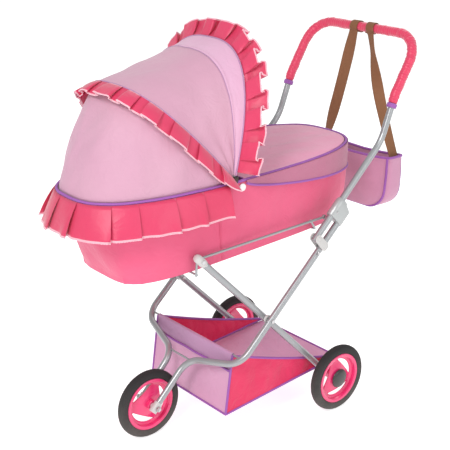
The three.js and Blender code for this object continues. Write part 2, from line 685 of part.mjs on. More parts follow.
function carrycot() {
  const outer = shellRings.map((step) => shellRing(step, 0, 0));
  const inner = shellRings.map((step) => shellRing(step, shellThickness, step.down * shellThickness));
  const centre = (lift) => new THREE.Vector3(0, cotFloor.y, floorHeight(cotFloor.y) + lift);
  // The rings run from the floor's outside up to the rim and down the inside.
  const shell = ringBody(centre(0), [...outer.toReversed(), ...inner], centre(shellThickness));
  add("carrycot_shell", "pinkCloth", shell);

  const board = (lift) => {
    const at = Array.from({ length: 28 }, (_, i) => oval(cotFloor, (2 * Math.PI * i) / 28, boardMargin));
    return at.map((point) => point.setZ(floorHeight(point.y) + lift));
  };
  const low = shellThickness + gap;
  const high = low + boardThickness;
  add("base_board", "boardCloth", ringBody(centre(low), [board(low), board(high)], centre(high)));

  const loop = (inset, lift) => {
    const around = Array.from({ length: 96 }, (_, i) => rimPoint((2 * Math.PI * i) / 96, inset, lift));
    return new THREE.CatmullRomCurve3(around, true);
  };
  const wireRadius = 1.6;
  const wallLean = 1.7; // the wall's slope inwards at the wire's depth
  const wireInset = shellThickness + gap + wireRadius + wallLean;
  add("rim_wire", "steel", new THREE.TubeGeometry(loop(wireInset, -3), 40, wireRadius, 4, true));
  const piping = new THREE.TubeGeometry(loop(pipingInset, pipingRadius + gap), 48, pipingRadius, 6, true);
  add("rim_piping", "purpleBinding", piping);
}

// The foot cover: a slightly crowned panel inside the piping, and a skirt that hangs outside it.
const outsidePiping = pipingInset - pipingRadius - 2 * gap; // inset of what hangs outside the piping
function footCover() {
  const inset = pipingInset + pipingRadius + 1.8;
  const start = ovalAngle(cot, coverFrontY, inset);
  const around = 24;
  const across = 8;
  const step = (Math.PI - 2 * start) / around;
  const edge = Array.from({ length: around + 1 }, (_, i) => oval(cot, start + step * i, inset));
  const frontAt = (i) => edge.at(-1).clone().lerp(edge[0], (i + 1) / across);
  const outline = [...edge, ...Array.from({ length: across - 1 }, (_, i) => frontAt(i))];
  const middle = new THREE.Vector3(0, -70, 0);
  const surface = (share, lift) =>
    outline.map((point) => {
      const at = middle.clone().lerp(point, share);
      return at.setZ(rimHeight(at.y) + 3 + coverCrown * (1 - share * share) + lift);
    });
  const shares = [0.4, 0.75, 1];
  const top = shares.map((share) => surface(share, clothThickness));
  const bottom = shares.toReversed().map((share) => surface(share, 0));
  const pole = (lift) => middle.clone().setZ(rimHeight(middle.y) + 3 + coverCrown + lift);
  add("foot_cover", "lilacCloth", ringBody(pole(clothThickness), [...top, ...bottom], pole(0)));

  const skirtStart = ovalAngle(cot, coverFrontY + 6, outsidePiping);
  const hang = (u, v) => {
    const angle = skirtStart + (Math.PI - 2 * skirtStart) * u;
    const depth = 5 + (skirtDrop - 5) * Math.sin(Math.PI * u) ** 0.7;
    const point = oval(cot, angle, outsidePiping - v * 0.8);
    return point.setZ(rimHeight(point.y) + 2 - v * depth);
  };
  add("foot_skirt", "lilacCloth", sheet(hang, 26, 1, 1));
}

function rimRuffle() {
  const start = ovalAngle(cot, hoodPivotY - 12, outsidePiping);
  const hang = (u, v) => {
    const angle = -Math.PI - start + (Math.PI + 2 * start) * u;
    const point = oval(cot, angle, outsidePiping - v * ruffleFlare);
    return point.setZ(rimHeight(point.y) + 2 - v * ruffleDrop);
  };
  add("rim_ruffle", "hotPinkCloth", sheet(hang, 26, 1, 1.2));
}

// A clip on the rim each side carries the pin that both hoops turn on, and a press stud beside it.
const clipFaceX = cot.halfWidth - pipingInset + pipingRadius + gap;
const frontHoopX = cot.halfWidth - 1;
const rearHoopX = frontHoopX - 5;
function clips() {
  const thickness = 1.6;
  const headRadius = 4;
  const headThickness = 1.5;
  const { y, z } = hoodPivot;
  const outline = [[-2.5, -17], [2.5, -17], [7.5, 2], [4, 5.5], [0, 1], [-4, 5.5], [-7.5, 2]];
  const face = plate(outline.map(([dy, dz]) => new THREE.Vector2(y + dy, z + dz)), clipFaceX, thickness);
  const inner = rearHoopX - hoopWireRadius - gap;
  const innerFace = inner - headThickness;
  const axis = pin(hoopPinRadius, innerFace, clipFaceX + thickness - innerFace, y, z);
  const outerHead = pin(headRadius, clipFaceX + thickness / 2, headThickness + thickness / 2, y, z);
  const innerHead = pin(headRadius, innerFace, headThickness, y, z);
  addPair("hood_clip", "darkSteel", join(face, axis, outerHead, innerHead));

  const studRadius = 7;
  const studThickness = 2.6;
  const studY = hoodPivotY + 18;
  const studZ = rimHeight(studY) - 9.5;
  const stud = pin(studRadius, cot.halfWidth + gap, studThickness, studY, studZ, 20);
  addPair("snap_stud", "whitePlastic", stud);
}

// ---- hood ---------------------------------------------------------------------------------------------
const hoodSteps = 20;
const hoodShare = (u) => 0.045 + 0.91 * u; // the cloth stops short of the pivots
function hoopPoint(angleDegrees, turn, halfWidth, radius) {
  const lean = THREE.MathUtils.degToRad(angleDegrees);
  const x = halfWidth * Math.sign(Math.cos(turn)) * Math.abs(Math.cos(turn)) ** (2 / hoopPower);
  const height = radius * Math.sin(turn) ** (2 / hoopPower);
  return new THREE.Vector3(x, hoodPivot.y - height * Math.cos(lean), hoodPivot.z + height * Math.sin(lean));
}
// Steps along a hoop that are even in length rather than in angle.
const evenTurn = (share) => Math.PI * (share + 0.055 * Math.sin(4 * Math.PI * share));

function hoop(angle, x) {
  const { y, z } = hoodPivot;
  const eyeRadius = 4.2;
  const eye = ring(eyeRadius, hoopPinRadius + runningGap, x - hoopWireRadius, 2 * hoopWireRadius, y, z);
  const at = (share) => hoopPoint(angle, evenTurn(share), x, hoodRadius - hoopFromCloth);
  const over = Array.from({ length: hoodSteps + 1 }, (_, i) => at(hoodShare(i / hoodSteps)));
  const atEye = over[0].clone().sub(hoodPivot).setX(0).setLength(3).add(hoodPivot).setX(x);
  const low = at(hoodShare(0) / 2);
  const wire = rod([atEye, low, ...over, mirrorPoint(low), mirrorPoint(atEye)], hoopWireRadius, 0, 6);
  return join(wire, eye, mirrored(eye));
}

const clothHoop = (angle, x, share) => hoopPoint(angle, evenTurn(share), x + hoopFromCloth, hoodRadius);

function hood() {
  add("rear_hoop", "steel", hoop(rearHoopAngle, rearHoopX));
  add("front_hoop", "steel", hoop(frontHoopAngle, frontHoopX));
  const canopy = (u, v) => {
    const share = hoodShare(u);
    return clothHoop(rearHoopAngle, rearHoopX, share).lerp(clothHoop(frontHoopAngle, frontHoopX, share), v);
  };
  add("hood_canopy", "lilacCloth", sheet(canopy, hoodSteps, 3));

  // The head panel drops from just under the rear hoop to the inside of the rim piping.
  const inset = pipingInset + pipingRadius + 2.2;
  const side = ovalAngle(cot, hoodPivotY - 16, inset);
  const bulge = 34;
  const panel = (u, v) => {
    const from = clothHoop(rearHoopAngle - 1.2, rearHoopX, hoodShare(u));
    const to = rimPoint(side - (Math.PI + 2 * side) * u, inset, 3.2);
    const at = from.lerp(to, v);
    const out = new THREE.Vector3(at.x, at.y - hoodPivot.y, 0).normalize();
    return at.addScaledVector(out, bulge * v * (1 - v) * Math.sin(Math.PI * u));
  };
  add("head_panel", "lilacCloth", sheet(panel, hoodSteps, 3));

  const outwards = (angle, share) => {
    const lean = THREE.MathUtils.degToRad(angle);
    const at = clothHoop(angle, frontHoopX, share);
    const height = Math.hypot(at.y - hoodPivot.y, at.z - hoodPivot.z);
    const flat = new THREE.Vector2(at.x / frontHoopX ** 2, height / hoodRadius ** 2).normalize();
    return new THREE.Vector3(flat.x, -flat.y * Math.cos(lean), flat.y * Math.sin(lean));
  };
  const frontRuffle = (u, v) => {
    const share = 0.085 + 0.83 * u;
    const lean = THREE.MathUtils.degToRad(frontHoopAngle);
    const start = clothHoop(frontHoopAngle + 0.7, frontHoopX, share);
    start.addScaledVector(outwards(frontHoopAngle, share), v * 30);
    return start.addScaledVector(new THREE.Vector3(0, Math.sin(lean), Math.cos(lean)), 1 + v * 14);
  };
  add("front_ruffle", "hotPinkCloth", sheet(frontRuffle, 20, 1, 1.2));

  const rearRuffle = (u, v) => {
    const w = 0.06 + 0.88 * u;
    const down = panel(w, v * 0.2 + 0.01);
    return down.addScaledVector(outwards(rearHoopAngle, hoodShare(w)), 2.2 + v * 9);
  };
  add("rear_ruffle", "hotPinkCloth", sheet(rearRuffle, 20, 1, 1.2));
}

// ---- bag ----------------------------------------------------------------------------------------------
function bag() {
  const bar = handleTop;
  const rimZ = bar.z - strapLength;
  const rings = [
    { down: 0, width: 0, depth: 0 },
    { down: 0.45, width: 1, depth: -4 },
    { down: 0.8, width: 6, depth: 0 },
    { down: 0.96, width: 20, depth: 8 },
    { down: 1, width: 34, depth: 15 },
  ];
  const power = 4;
  const ringAt = ({ down, width, depth }, inset, lift) =>
    Array.from({ length: 28 }, (_, i) => {
      const shape = {
        y: bar.y,
        head: bagHalfDepth - depth,
        foot: bagHalfDepth - depth,
        halfWidth: bagHalfWidth - width,
        headPower: power,
        footPower: power,
      };
      return oval(shape, (2 * Math.PI * i) / 28, inset).setZ(rimZ - down * bagHeight + lift);
    });
  const outer = rings.map((step) => ringAt(step, 0, 0));
  const inner = rings.map((step) => ringAt(step, clothThickness, step.down * clothThickness));
  const pole = (lift) => new THREE.Vector3(0, bar.y, rimZ - bagHeight + lift);
  add("bag", "lilacCloth", ringBody(pole(0), [...outer.toReversed(), ...inner], pole(clothThickness)));

  // Each strap is a loop round the grip with a flat band down to one end of the bag.
  const loopInner = gripRadius + runningGap;
  const loopOuter = loopInner + strapThickness;
  const loop = ring(loopOuter, loopInner, strapAtBar - strapWidth / 2, strapWidth, bar.y, bar.z);
  const foot = bagHalfWidth - clothThickness - gap - 1;
  const bandTop = bar.z - loopOuter + strapThickness / 2;
  const bandFoot = rimZ - 12;
  const outline = [
    [strapAtBar - strapWidth / 2, bandTop],
    [foot - strapWidth * 0.75, bandFoot],
    [foot, bandFoot],
    [foot, rimZ + 8],
    [strapAtBar + strapWidth / 2, bandTop],
  ].map(([x, z]) => new THREE.Vector2(x, z));
  const settings = { depth: strapThickness, bevelEnabled: false };
  const band = new THREE.ExtrudeGeometry(new THREE.Shape(outline), settings);
  band.rotateX(Math.PI / 2).translate(0, bar.y + strapThickness / 2, 0);
  addPair("strap", "brownWebbing", join(loop, band));
}

// ---- assembly -----------------------------------------------------------------------------------------
frameTubes();
crossRods();
frontAxleSet();
crossings();
hingeBrackets();
basket();
frontWheel();
rearLegs();
rearWheels();
handle();
lockSleeves();
rails();
carrycot();
footCover();
rimRuffle();
clips();
hood();
bag();
stroller.position.set(0, rearAxleBehindOrigin, wheelR);

export default stroller;
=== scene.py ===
"""A doll's pram: folding silver tube frame, fabric carrycot with a frilled hood, a cloth basket and a hanging bag.

Lengths in the shape code are millimetres measured from the middle of the rear axle (x to the pusher's left, y
backwards, z up); place() turns them into the frame's metres.
"""

import logging
import math
from dataclasses import dataclass
from enum import Enum
from typing import Optional, Sequence

import bmesh
import bpy
import numpy as np
from mathutils import Matrix, Vector, noise


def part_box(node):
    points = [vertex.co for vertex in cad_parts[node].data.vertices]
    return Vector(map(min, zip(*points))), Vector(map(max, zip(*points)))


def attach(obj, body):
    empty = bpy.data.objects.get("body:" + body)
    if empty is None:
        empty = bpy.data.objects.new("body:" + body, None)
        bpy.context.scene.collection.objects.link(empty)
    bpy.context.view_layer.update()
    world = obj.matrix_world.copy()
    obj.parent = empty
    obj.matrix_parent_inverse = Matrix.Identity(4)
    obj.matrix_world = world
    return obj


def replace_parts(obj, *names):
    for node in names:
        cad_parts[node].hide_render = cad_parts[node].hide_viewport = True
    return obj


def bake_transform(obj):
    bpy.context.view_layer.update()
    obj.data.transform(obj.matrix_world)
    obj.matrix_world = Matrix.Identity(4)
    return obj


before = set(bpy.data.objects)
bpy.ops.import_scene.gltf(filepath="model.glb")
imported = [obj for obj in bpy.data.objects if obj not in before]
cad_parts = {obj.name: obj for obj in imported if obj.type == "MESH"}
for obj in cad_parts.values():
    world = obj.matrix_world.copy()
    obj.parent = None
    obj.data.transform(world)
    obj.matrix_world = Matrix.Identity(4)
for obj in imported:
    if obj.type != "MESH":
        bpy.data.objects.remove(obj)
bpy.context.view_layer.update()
LOG = logging.getLogger("pram")
MM = 0.001
AXLE = (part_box("rear_axle")[0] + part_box("rear_axle")[1]) / 2
SIDES = ((1, "left"), (-1, "right"))
PIPING = 2.4  # radius of the piping on the basket and the bag
Point = tuple[float, float, float]
Grid = np.ndarray
Piece = bpy.types.Object


def place(points: Sequence | Grid) -> Grid:
    """Turns points in millimetres from the rear axle into metres in the frame.

    Args:
        points: an array whose last axis holds x, y and z.

    Returns:
        The same points in the shared frame, in metres.
    """
    return np.asarray(points, float) * MM + np.array([0.0, AXLE.y, AXLE.z])


# ---- materials ------------------------------------------------------------------------------------------


class Graph:
    """A short way to write the nodes and links of a material or of a node group."""

    def __init__(self, tree: bpy.types.NodeTree) -> None:
        """Keeps the tree.

        Args:
            tree: the node tree to add to.
        """
        self.tree = tree

    def node(self, kind: str, inputs: Optional[dict] = None, **settings: object) -> bpy.types.Node:
        """Adds a node.

        Args:
            kind: the node's type name.
            inputs: values or output sockets for its inputs, by name or number.
            settings: attributes to set on the node.

        Returns:
            The new node.
        """
        made = self.tree.nodes.new(kind)
        for name, value in settings.items():
            setattr(made, name, value)
        for key, value in (inputs or {}).items():
            if isinstance(value, bpy.types.NodeSocket):
                self.tree.links.new(value, made.inputs[key])
            else:
                made.inputs[key].default_value = value
        return made

    def math(self, operation: str, *values: object) -> bpy.types.NodeSocket:
        """Adds a Math node with these values or sockets and gives its output."""
        return self.node("ShaderNodeMath", dict(enumerate(values)), operation=operation).outputs[0]

    def mix(self, share: object, a: object, b: object) -> bpy.types.NodeSocket:
        """Mixes two colours.

        Args:
            share: how much of b shows.
            a: the first colour or socket.
            b: the second colour or socket.

        Returns:
            The mixed colour's socket.
        """
        return self.node("ShaderNodeMix", {0: share, 6: a, 7: b}, data_type="RGBA").outputs[2]

    def group(self, tree: bpy.types.NodeTree, **inputs: object) -> bpy.types.Node:
        """Places a node group with its values; an underscore in a name stands for a space."""
        named = {name.replace("_", " "): value for name, value in inputs.items()}
        return self.node("ShaderNodeGroup", named, node_tree=tree)


def new_group(name: str, inputs: Sequence[tuple], outputs: Sequence[tuple]) -> tuple[bpy.types.NodeTree, Graph, dict]:
    """Makes an empty shader node group.

    Args:
        name: the group's name.
        inputs: (name, socket type, default or None) for each input.
        outputs: (name, socket type) for each output.

    Returns:
        The tree, its graph, and the input sockets by name with the output node under "out".
    """
    tree = bpy.data.node_groups.new(name, "ShaderNodeTree")
    for label, kind, default in inputs:
        made = tree.interface.new_socket(name=label, in_out="INPUT", socket_type=kind)
        if default is not None:
            made.default_value = default
    for label, kind in outputs:
        tree.interface.new_socket(name=label, in_out="OUTPUT", socket_type=kind)
    graph = Graph(tree)
    source = graph.node("NodeGroupInput")
    ends = {label: source.outputs[label] for label, _, _ in inputs}
    ends["out"] = graph.node("NodeGroupOutput")
    return tree, graph, ends


def weave_group() -> bpy.types.NodeTree:
    """Builds the plain weave: threads over and under each other along the piece's own UV map.

    Returns:
        A group with Vector, Threads and Slub inputs and two outputs: Height, and a painted light value, high on the
        threads' crests and low in the weave's hollows, from which the cloth's colour is darkened as painted shade.
    """
    inputs = [("Vector", "NodeSocketVector", None), ("Threads", "NodeSocketFloat", 900.0)]
    inputs.append(("Slub", "NodeSocketFloat", 0.3))
    tree, graph, ends = new_group("plain_weave", inputs,
        [("Height", "NodeSocketFloat"), ("Painted_Light", "NodeSocketFloat")])
    parts = graph.node("ShaderNodeSeparateXYZ", {0: ends["Vector"]})
    waves = []
    for axis in ("X", "Y"):
        turn = graph.math("MULTIPLY", graph.math("MULTIPLY", parts.outputs[axis], ends["Threads"]), math.pi)
        waves.append(graph.math("SINE", turn))
    both = graph.math("MULTIPLY", waves[0], waves[1])
    scaled = graph.node("ShaderNodeVectorMath", {0: ends["Vector"], 1: (60.0, 900.0, 60.0)}, operation="MULTIPLY")
    slub = graph.node("ShaderNodeTexNoise", {"Vector": scaled.outputs[0], "Scale": 1.0, "Detail": 2.0})
    uneven = graph.math("MULTIPLY", graph.math("SUBTRACT", slub.outputs[0], 0.5), ends["Slub"])
    height = graph.math("ADD", graph.math("MULTIPLY", both, 0.5), uneven)
    graph.tree.links.new(height, ends["out"].inputs["Height"])
    # The second output is painted light: lighter on the threads' crests, darker in the weave's hollows.
    graph.tree.links.new(graph.math("ADD", graph.math("MULTIPLY", height, 0.5), 0.5), ends["out"].inputs["Painted_Light"])
    return tree


def mottle_group() -> bpy.types.NodeTree:
    """Builds slow changes over a surface: fading, handling and fine creases.

    Returns:
        A group with Scale and Creases inputs and Tone and Height outputs.
    """
    inputs = [("Scale", "NodeSocketFloat", 9.0), ("Creases", "NodeSocketFloat", 45.0)]
    tree, graph, ends = new_group("soft_mottle", inputs, [("Tone", "NodeSocketFloat"), ("Height", "NodeSocketFloat")])
    where = graph.node("ShaderNodeTexCoord").outputs["Object"]
    slow = graph.node("ShaderNodeTexNoise", {"Vector": where, "Scale": ends["Scale"], "Detail": 4.0})
    fine = graph.node("ShaderNodeTexNoise",
        {"Vector": where, "Scale": ends["Creases"], "Detail": 3.0, "Distortion": 1.4})
    graph.tree.links.new(slow.outputs[0], ends["out"].inputs["Tone"])
    graph.tree.links.new(fine.outputs[0], ends["out"].inputs["Height"])
    return tree


def handling_group() -> bpy.types.NodeTree:
    """Builds the marks of use on hard surfaces: fine scratches, rubbed patches and floor dust low down.

    Returns:
        A group with Grain, Scratch, Dust Height inputs and Rubbed, Height and Dust outputs.
    """
    inputs = [("Grain", "NodeSocketFloat", 900.0), ("Scratch", "NodeSocketFloat", 0.5)]
    inputs.append(("Dust Height", "NodeSocketFloat", 0.12))
    outputs = [("Rubbed", "NodeSocketFloat"), ("Height", "NodeSocketFloat"), ("Dust", "NodeSocketFloat")]
    tree, graph, ends = new_group("handling_marks", inputs, outputs)
    where = graph.node("ShaderNodeTexCoord").outputs["Object"]
    grain = graph.node("ShaderNodeTexNoise", {"Vector": where, "Scale": ends["Grain"], "Detail": 2.0})
    stretched = graph.node("ShaderNodeVectorMath", {0: where, 1: (40.0, 40.0, 700.0)}, operation="MULTIPLY")
    lines = graph.node("ShaderNodeTexNoise", {"Vector": stretched.outputs[0], "Scale": 1.0, "Detail": 5.0})
    patches = graph.node("ShaderNodeTexNoise", {"Vector": where, "Scale": 26.0, "Detail": 5.0})
    marks = graph.math("MULTIPLY", graph.math("POWER", lines.outputs[0], 3.0), ends["Scratch"])
    rubbed = graph.math("ADD", marks, graph.math("MULTIPLY", patches.outputs[0], 0.5))
    height = graph.node("ShaderNodeSeparateXYZ", {0: where}).outputs["Z"]
    low = graph.math("SUBTRACT", 1.0, graph.math("DIVIDE", height, ends["Dust Height"]))
    dust = graph.math("MULTIPLY", graph.math("MAXIMUM", low, 0.0), patches.outputs[0])
    for label, value in (("Rubbed", rubbed), ("Height", grain.outputs[0]), ("Dust", dust)):
        graph.tree.links.new(value, ends["out"].inputs[label])
    return tree


WEAVE = weave_group()
MOTTLE = mottle_group()
HANDLING = handling_group()


def start_material(name: str, slot: str) -> tuple[bpy.types.Material, Graph, bpy.types.Node]:
    """Makes a material with its shader and notes the record's slot on it.

    Args:
        name: the material's name.
        slot: the record's material slot.

    Returns:
        The material, its graph and its Principled BSDF.
    """
    material = bpy.data.materials.new(name)
    material.use_nodes = True
    material["slot"] = slot
    graph = Graph(material.node_tree)
    return material, graph, material.node_tree.nodes["Principled BSDF"]


@dataclass(frozen=True)
class Cloth:
    """A woven cloth.

    Attributes:
        name: what the cloth is.
        slot: the record's material slot.
        colour: its colour, linear.
        shade: a darker tone of the cloth, mixed in at random for its mottle and as painted shade in the weave's
            hollows and on the threads' sides.
        hem: the colour of its edge band, where the piece has a "hem" attribute.
        threads: threads to the metre.
        roughness: how matt it is.
        sheen: how strong its soft sheen is.
        crease: how strong its fine creases are.
        through: how much light comes through it.
    """

    name: str
    slot: str
    colour: tuple
    shade: tuple
    hem: Optional[tuple] = None
    threads: float = 900.0
    roughness: float = 0.75
    sheen: float = 0.35
    crease: float = 0.35
    through: float = 0.0

    def build(self) -> bpy.types.Material:
        """Builds the material."""
        material, graph, shader = start_material(self.name, self.slot)
        uv = graph.node("ShaderNodeUVMap", uv_map="cloth").outputs[0]
        weave = graph.group(WEAVE, Vector=uv, Threads=self.threads, Slub=0.5)
        mottle = graph.group(MOTTLE, Scale=7.0, Creases=38.0)
        tone = graph.node("ShaderNodeMapRange", {"Value": mottle.outputs["Tone"], "From Min": 0.35, "From Max": 0.7})
        share = graph.math("MULTIPLY", tone.outputs[0], 0.35)
        colour = graph.mix(share, (*self.colour, 1), (*self.shade, 1))
        # Painted shade: the colour goes towards the darker tone in the weave's hollows and on the threads' sides, and
        # with the yarn's random slubs.
        thread = graph.math("MULTIPLY", graph.math("SUBTRACT", 1.0, weave.outputs["Painted_Light"]), 0.3)
        colour = graph.mix(thread, colour, (*self.shade, 1))
        if self.hem:
            edge = graph.node("ShaderNodeAttribute", attribute_name="hem").outputs["Fac"]
            band = graph.math("GREATER_THAN", edge, 0.5)
            colour = graph.mix(band, colour, (*self.hem, 1))
        graph.tree.links.new(colour, shader.inputs["Base Color"])
        rough = graph.math("ADD", graph.math("MULTIPLY", tone.outputs[0], 0.12), self.roughness - 0.06)
        graph.tree.links.new(rough, shader.inputs["Roughness"])
        fine = graph.node("ShaderNodeBump", {"Height": weave.outputs["Height"], "Strength": 0.25, "Distance": 0.0002})
        inputs = {"Height": mottle.outputs["Height"], "Strength": self.crease, "Distance": 0.004}
        creased = graph.node("ShaderNodeBump", {**inputs, "Normal": fine.outputs[0]})
        graph.tree.links.new(creased.outputs[0], shader.inputs["Normal"])
        shader.inputs["Sheen Weight"].default_value = self.sheen
        shader.inputs["Sheen Roughness"].default_value = 0.45
        if self.through:
            back = graph.node("ShaderNodeBsdfTranslucent", {"Color": colour})
            both = graph.node("ShaderNodeMixShader", {0: self.through, 1: shader.outputs[0], 2: back.outputs[0]})
            out = material.node_tree.nodes["Material Output"]
            graph.tree.links.new(both.outputs[0], out.inputs["Surface"])
        return material


@dataclass(frozen=True)
class Hard:
    """A paint, metal, plastic or foam.

    Attributes:
        name: what the finish is.
        slot: the record's material slot.
        colour: its colour, linear.
        worn: its colour where it is rubbed.
        metallic: 1 for bare metal.
        roughness: how matt it is.
        coat: how strong its clear top layer is.
        grain: lumps to the metre in its surface.
        bump: how strong they are.
        dust: how much floor dust it takes low down.
    """

    name: str
    slot: str
    colour: tuple
    worn: tuple
    metallic: float = 0.0
    roughness: float = 0.4
    coat: float = 0.0
    grain: float = 900.0
    bump: float = 0.1
    dust: float = 0.0

    def build(self) -> bpy.types.Material:
        """Builds the material."""
        material, graph, shader = start_material(self.name, self.slot)
        marks = graph.group(HANDLING, Grain=self.grain, Scratch=0.6, Dust_Height=0.13)
        share = graph.math("MULTIPLY", marks.outputs["Rubbed"], 0.5)
        colour = graph.mix(share, (*self.colour, 1), (*self.worn, 1))
        if self.dust:
            dusty = graph.math("MULTIPLY", marks.outputs["Dust"], self.dust)
            colour = graph.mix(dusty, colour, (0.42, 0.38, 0.34, 1))
        graph.tree.links.new(colour, shader.inputs["Base Color"])
        spread = graph.math("MULTIPLY", marks.outputs["Rubbed"], 0.22)
        graph.tree.links.new(graph.math("ADD", spread, self.roughness - 0.08), shader.inputs["Roughness"])
        inputs = {"Height": marks.outputs["Height"], "Strength": self.bump, "Distance": 0.0005}
        graph.tree.links.new(graph.node("ShaderNodeBump", inputs).outputs[0], shader.inputs["Normal"])
        shader.inputs["Metallic"].default_value = self.metallic
        shader.inputs["Coat Weight"].default_value = self.coat
        shader.inputs["Coat Roughness"].default_value = 0.12
        return material


class Finish(Enum):
    """Every finish on the pram."""

    TUBE = Hard("satin_tube_paint", "silver_tube", (0.33, 0.345, 0.355), (0.42, 0.43, 0.44), 0.55, 0.36, 0.25, 1500,
        0.06)
    STEEL = Hard("zinc_steel", "steel", (0.6, 0.6, 0.61), (0.4, 0.39, 0.38), 1.0, 0.3, 0.0, 1200, 0.1)
    BRONZE = Hard("bronzed_clip", "dark_steel", (0.05, 0.035, 0.03), (0.16, 0.12, 0.1), 0.7, 0.42, 0.0, 900, 0.2)
    GREY = Hard("pale_grey_moulding", "grey_plastic", (0.56, 0.55, 0.54), (0.46, 0.45, 0.44), 0.0, 0.45, 0.1, 1400,
        0.2)
    SLEEVE = Hard("grey_sleeve", "grey_plastic", (0.4, 0.42, 0.42), (0.5, 0.51, 0.51), 0.3, 0.38, 0.2, 1400, 0.1)
    WHITE = Hard("white_press_stud", "white_plastic", (0.8, 0.79, 0.78), (0.7, 0.69, 0.68), 0.0, 0.25, 0.5, 600, 0.05)
    BLACK = Hard("black_hub_cap", "black_plastic", (0.012, 0.012, 0.013), (0.05, 0.05, 0.05), 0.0, 0.4, 0.2, 1200,
        0.2, 0.2)
    FOAM = Hard("black_foam_tyre", "black_foam", (0.014, 0.013, 0.014), (0.035, 0.033, 0.033), 0.0, 0.85, 0.0, 2600,
        0.7, 0.35)
    WHEEL = Hard("hot_pink_wheel", "pink_plastic", (0.8, 0.028, 0.16), (0.74, 0.06, 0.2), 0.0, 0.3, 0.6, 700, 0.05)
    SHELL = Cloth("pink_taffeta", "pink_cloth", (0.74, 0.1, 0.215), (0.63, 0.045, 0.13), None, 1100, 0.68, 0.3, 0.3)
    SHELL_INNER = Cloth("base_board_cover", "board_cloth", (0.76, 0.36, 0.55), (0.6, 0.22, 0.4), None, 900, 0.8, 0.3,
        0.3)
    LILAC = Cloth("lilac_taffeta", "lilac_cloth", (0.68, 0.39, 0.5), (0.56, 0.26, 0.4), None, 1100, 0.62, 0.35, 0.35,
        0.12)
    SKIRT = Cloth("skirt_taffeta", "lilac_cloth", (0.52, 0.17, 0.27), (0.43, 0.11, 0.21), None, 1100, 0.62, 0.35,
        0.35, 0.08)
    COVER = Cloth("cover_taffeta", "lilac_cloth", (0.88, 0.38, 0.55), (0.76, 0.27, 0.44), None, 1100, 0.62, 0.35,
        0.35, 0.1)
    BAG = Cloth("bag_taffeta", "lilac_cloth", (0.65, 0.32, 0.46), (0.52, 0.21, 0.36), None, 1100, 0.62, 0.35, 0.35,
        0.1)
    BAND = Cloth("hood_band", "lilac_cloth", (0.78, 0.48, 0.64), (0.66, 0.35, 0.54), None, 1100, 0.55, 0.4, 0.35, 0.1)
    PANEL = Cloth("basket_panel", "lilac_cloth", (0.72, 0.39, 0.56), (0.55, 0.25, 0.43), None, 900, 0.7, 0.3, 0.5,
        0.08)
    FLAP = Cloth("folded_flap", "lilac_cloth", (0.52, 0.3, 0.48), (0.42, 0.2, 0.38), None, 900, 0.7, 0.3, 0.5, 0.05)
    SIDE = Cloth("basket_side", "lilac_cloth", (0.79, 0.019, 0.115), (0.64, 0.01, 0.07), None, 900, 0.6, 0.3, 0.5,
        0.06)
    FRILL = Cloth("satin_frill", "hot_pink_cloth", (0.75, 0.056, 0.15), (0.62, 0.02, 0.085), (0.93, 0.5, 0.58), 1400,
        0.42, 0.45, 0.3, 0.12)
    PICOT = Cloth("picot_thread", "hot_pink_cloth", (0.95, 0.6, 0.68), (0.85, 0.42, 0.52), None, 1800, 0.6, 0.3, 0.1)
    GRIP = Cloth("gathered_satin", "pink_satin", (0.72, 0.045, 0.12), (0.55, 0.02, 0.07), None, 1400, 0.38, 0.45,
        0.45)
    BINDING = Cloth("purple_tape", "purple_binding", (0.33, 0.105, 0.41), (0.25, 0.07, 0.32), None, 1500, 0.7, 0.08,
        0.2)
    LIGHT_BINDING = Cloth("lilac_tape", "purple_binding", (0.46, 0.25, 0.42), (0.36, 0.18, 0.34), None, 1500, 0.7,
        0.1, 0.2)
    WEBBING = Cloth("woven_strap", "brown_webbing", (0.24, 0.105, 0.045), (0.13, 0.05, 0.02), None, 620, 0.85, 0.05,
        0.25)
    THREAD = Cloth("sewing_thread", "lilac_cloth", (0.62, 0.3, 0.46), (0.45, 0.18, 0.32), None, 2500, 0.7, 0.2, 0.1)

    def material(self) -> bpy.types.Material:
        """Gives the built material, the same one each time."""
        return bpy.data.materials.get(self.value.name) or self.value.build()


# ---- meshes ---------------------------------------------------------------------------------------------


def link(name: str, mesh: bpy.types.Mesh, finish: Finish) -> Piece:
    """Makes an object of a mesh.

    Args:
        name: the piece's name.
        mesh: its mesh, in the frame's metres.
        finish: its finish.

    Returns:
        The object, in the scene.
    """
    piece = bpy.data.objects.new(name, mesh)
    bpy.context.scene.collection.objects.link(piece)
    mesh.materials.clear()
    mesh.materials.append(finish.material())
    return piece


def smooth(piece: Piece, degrees: float = 42.0) -> Piece:
    """Shades a piece smooth but for its sharp corners."""
    piece.data.shade_smooth()
    piece.data.set_sharp_from_angle(angle=math.radians(degrees))
    return piece


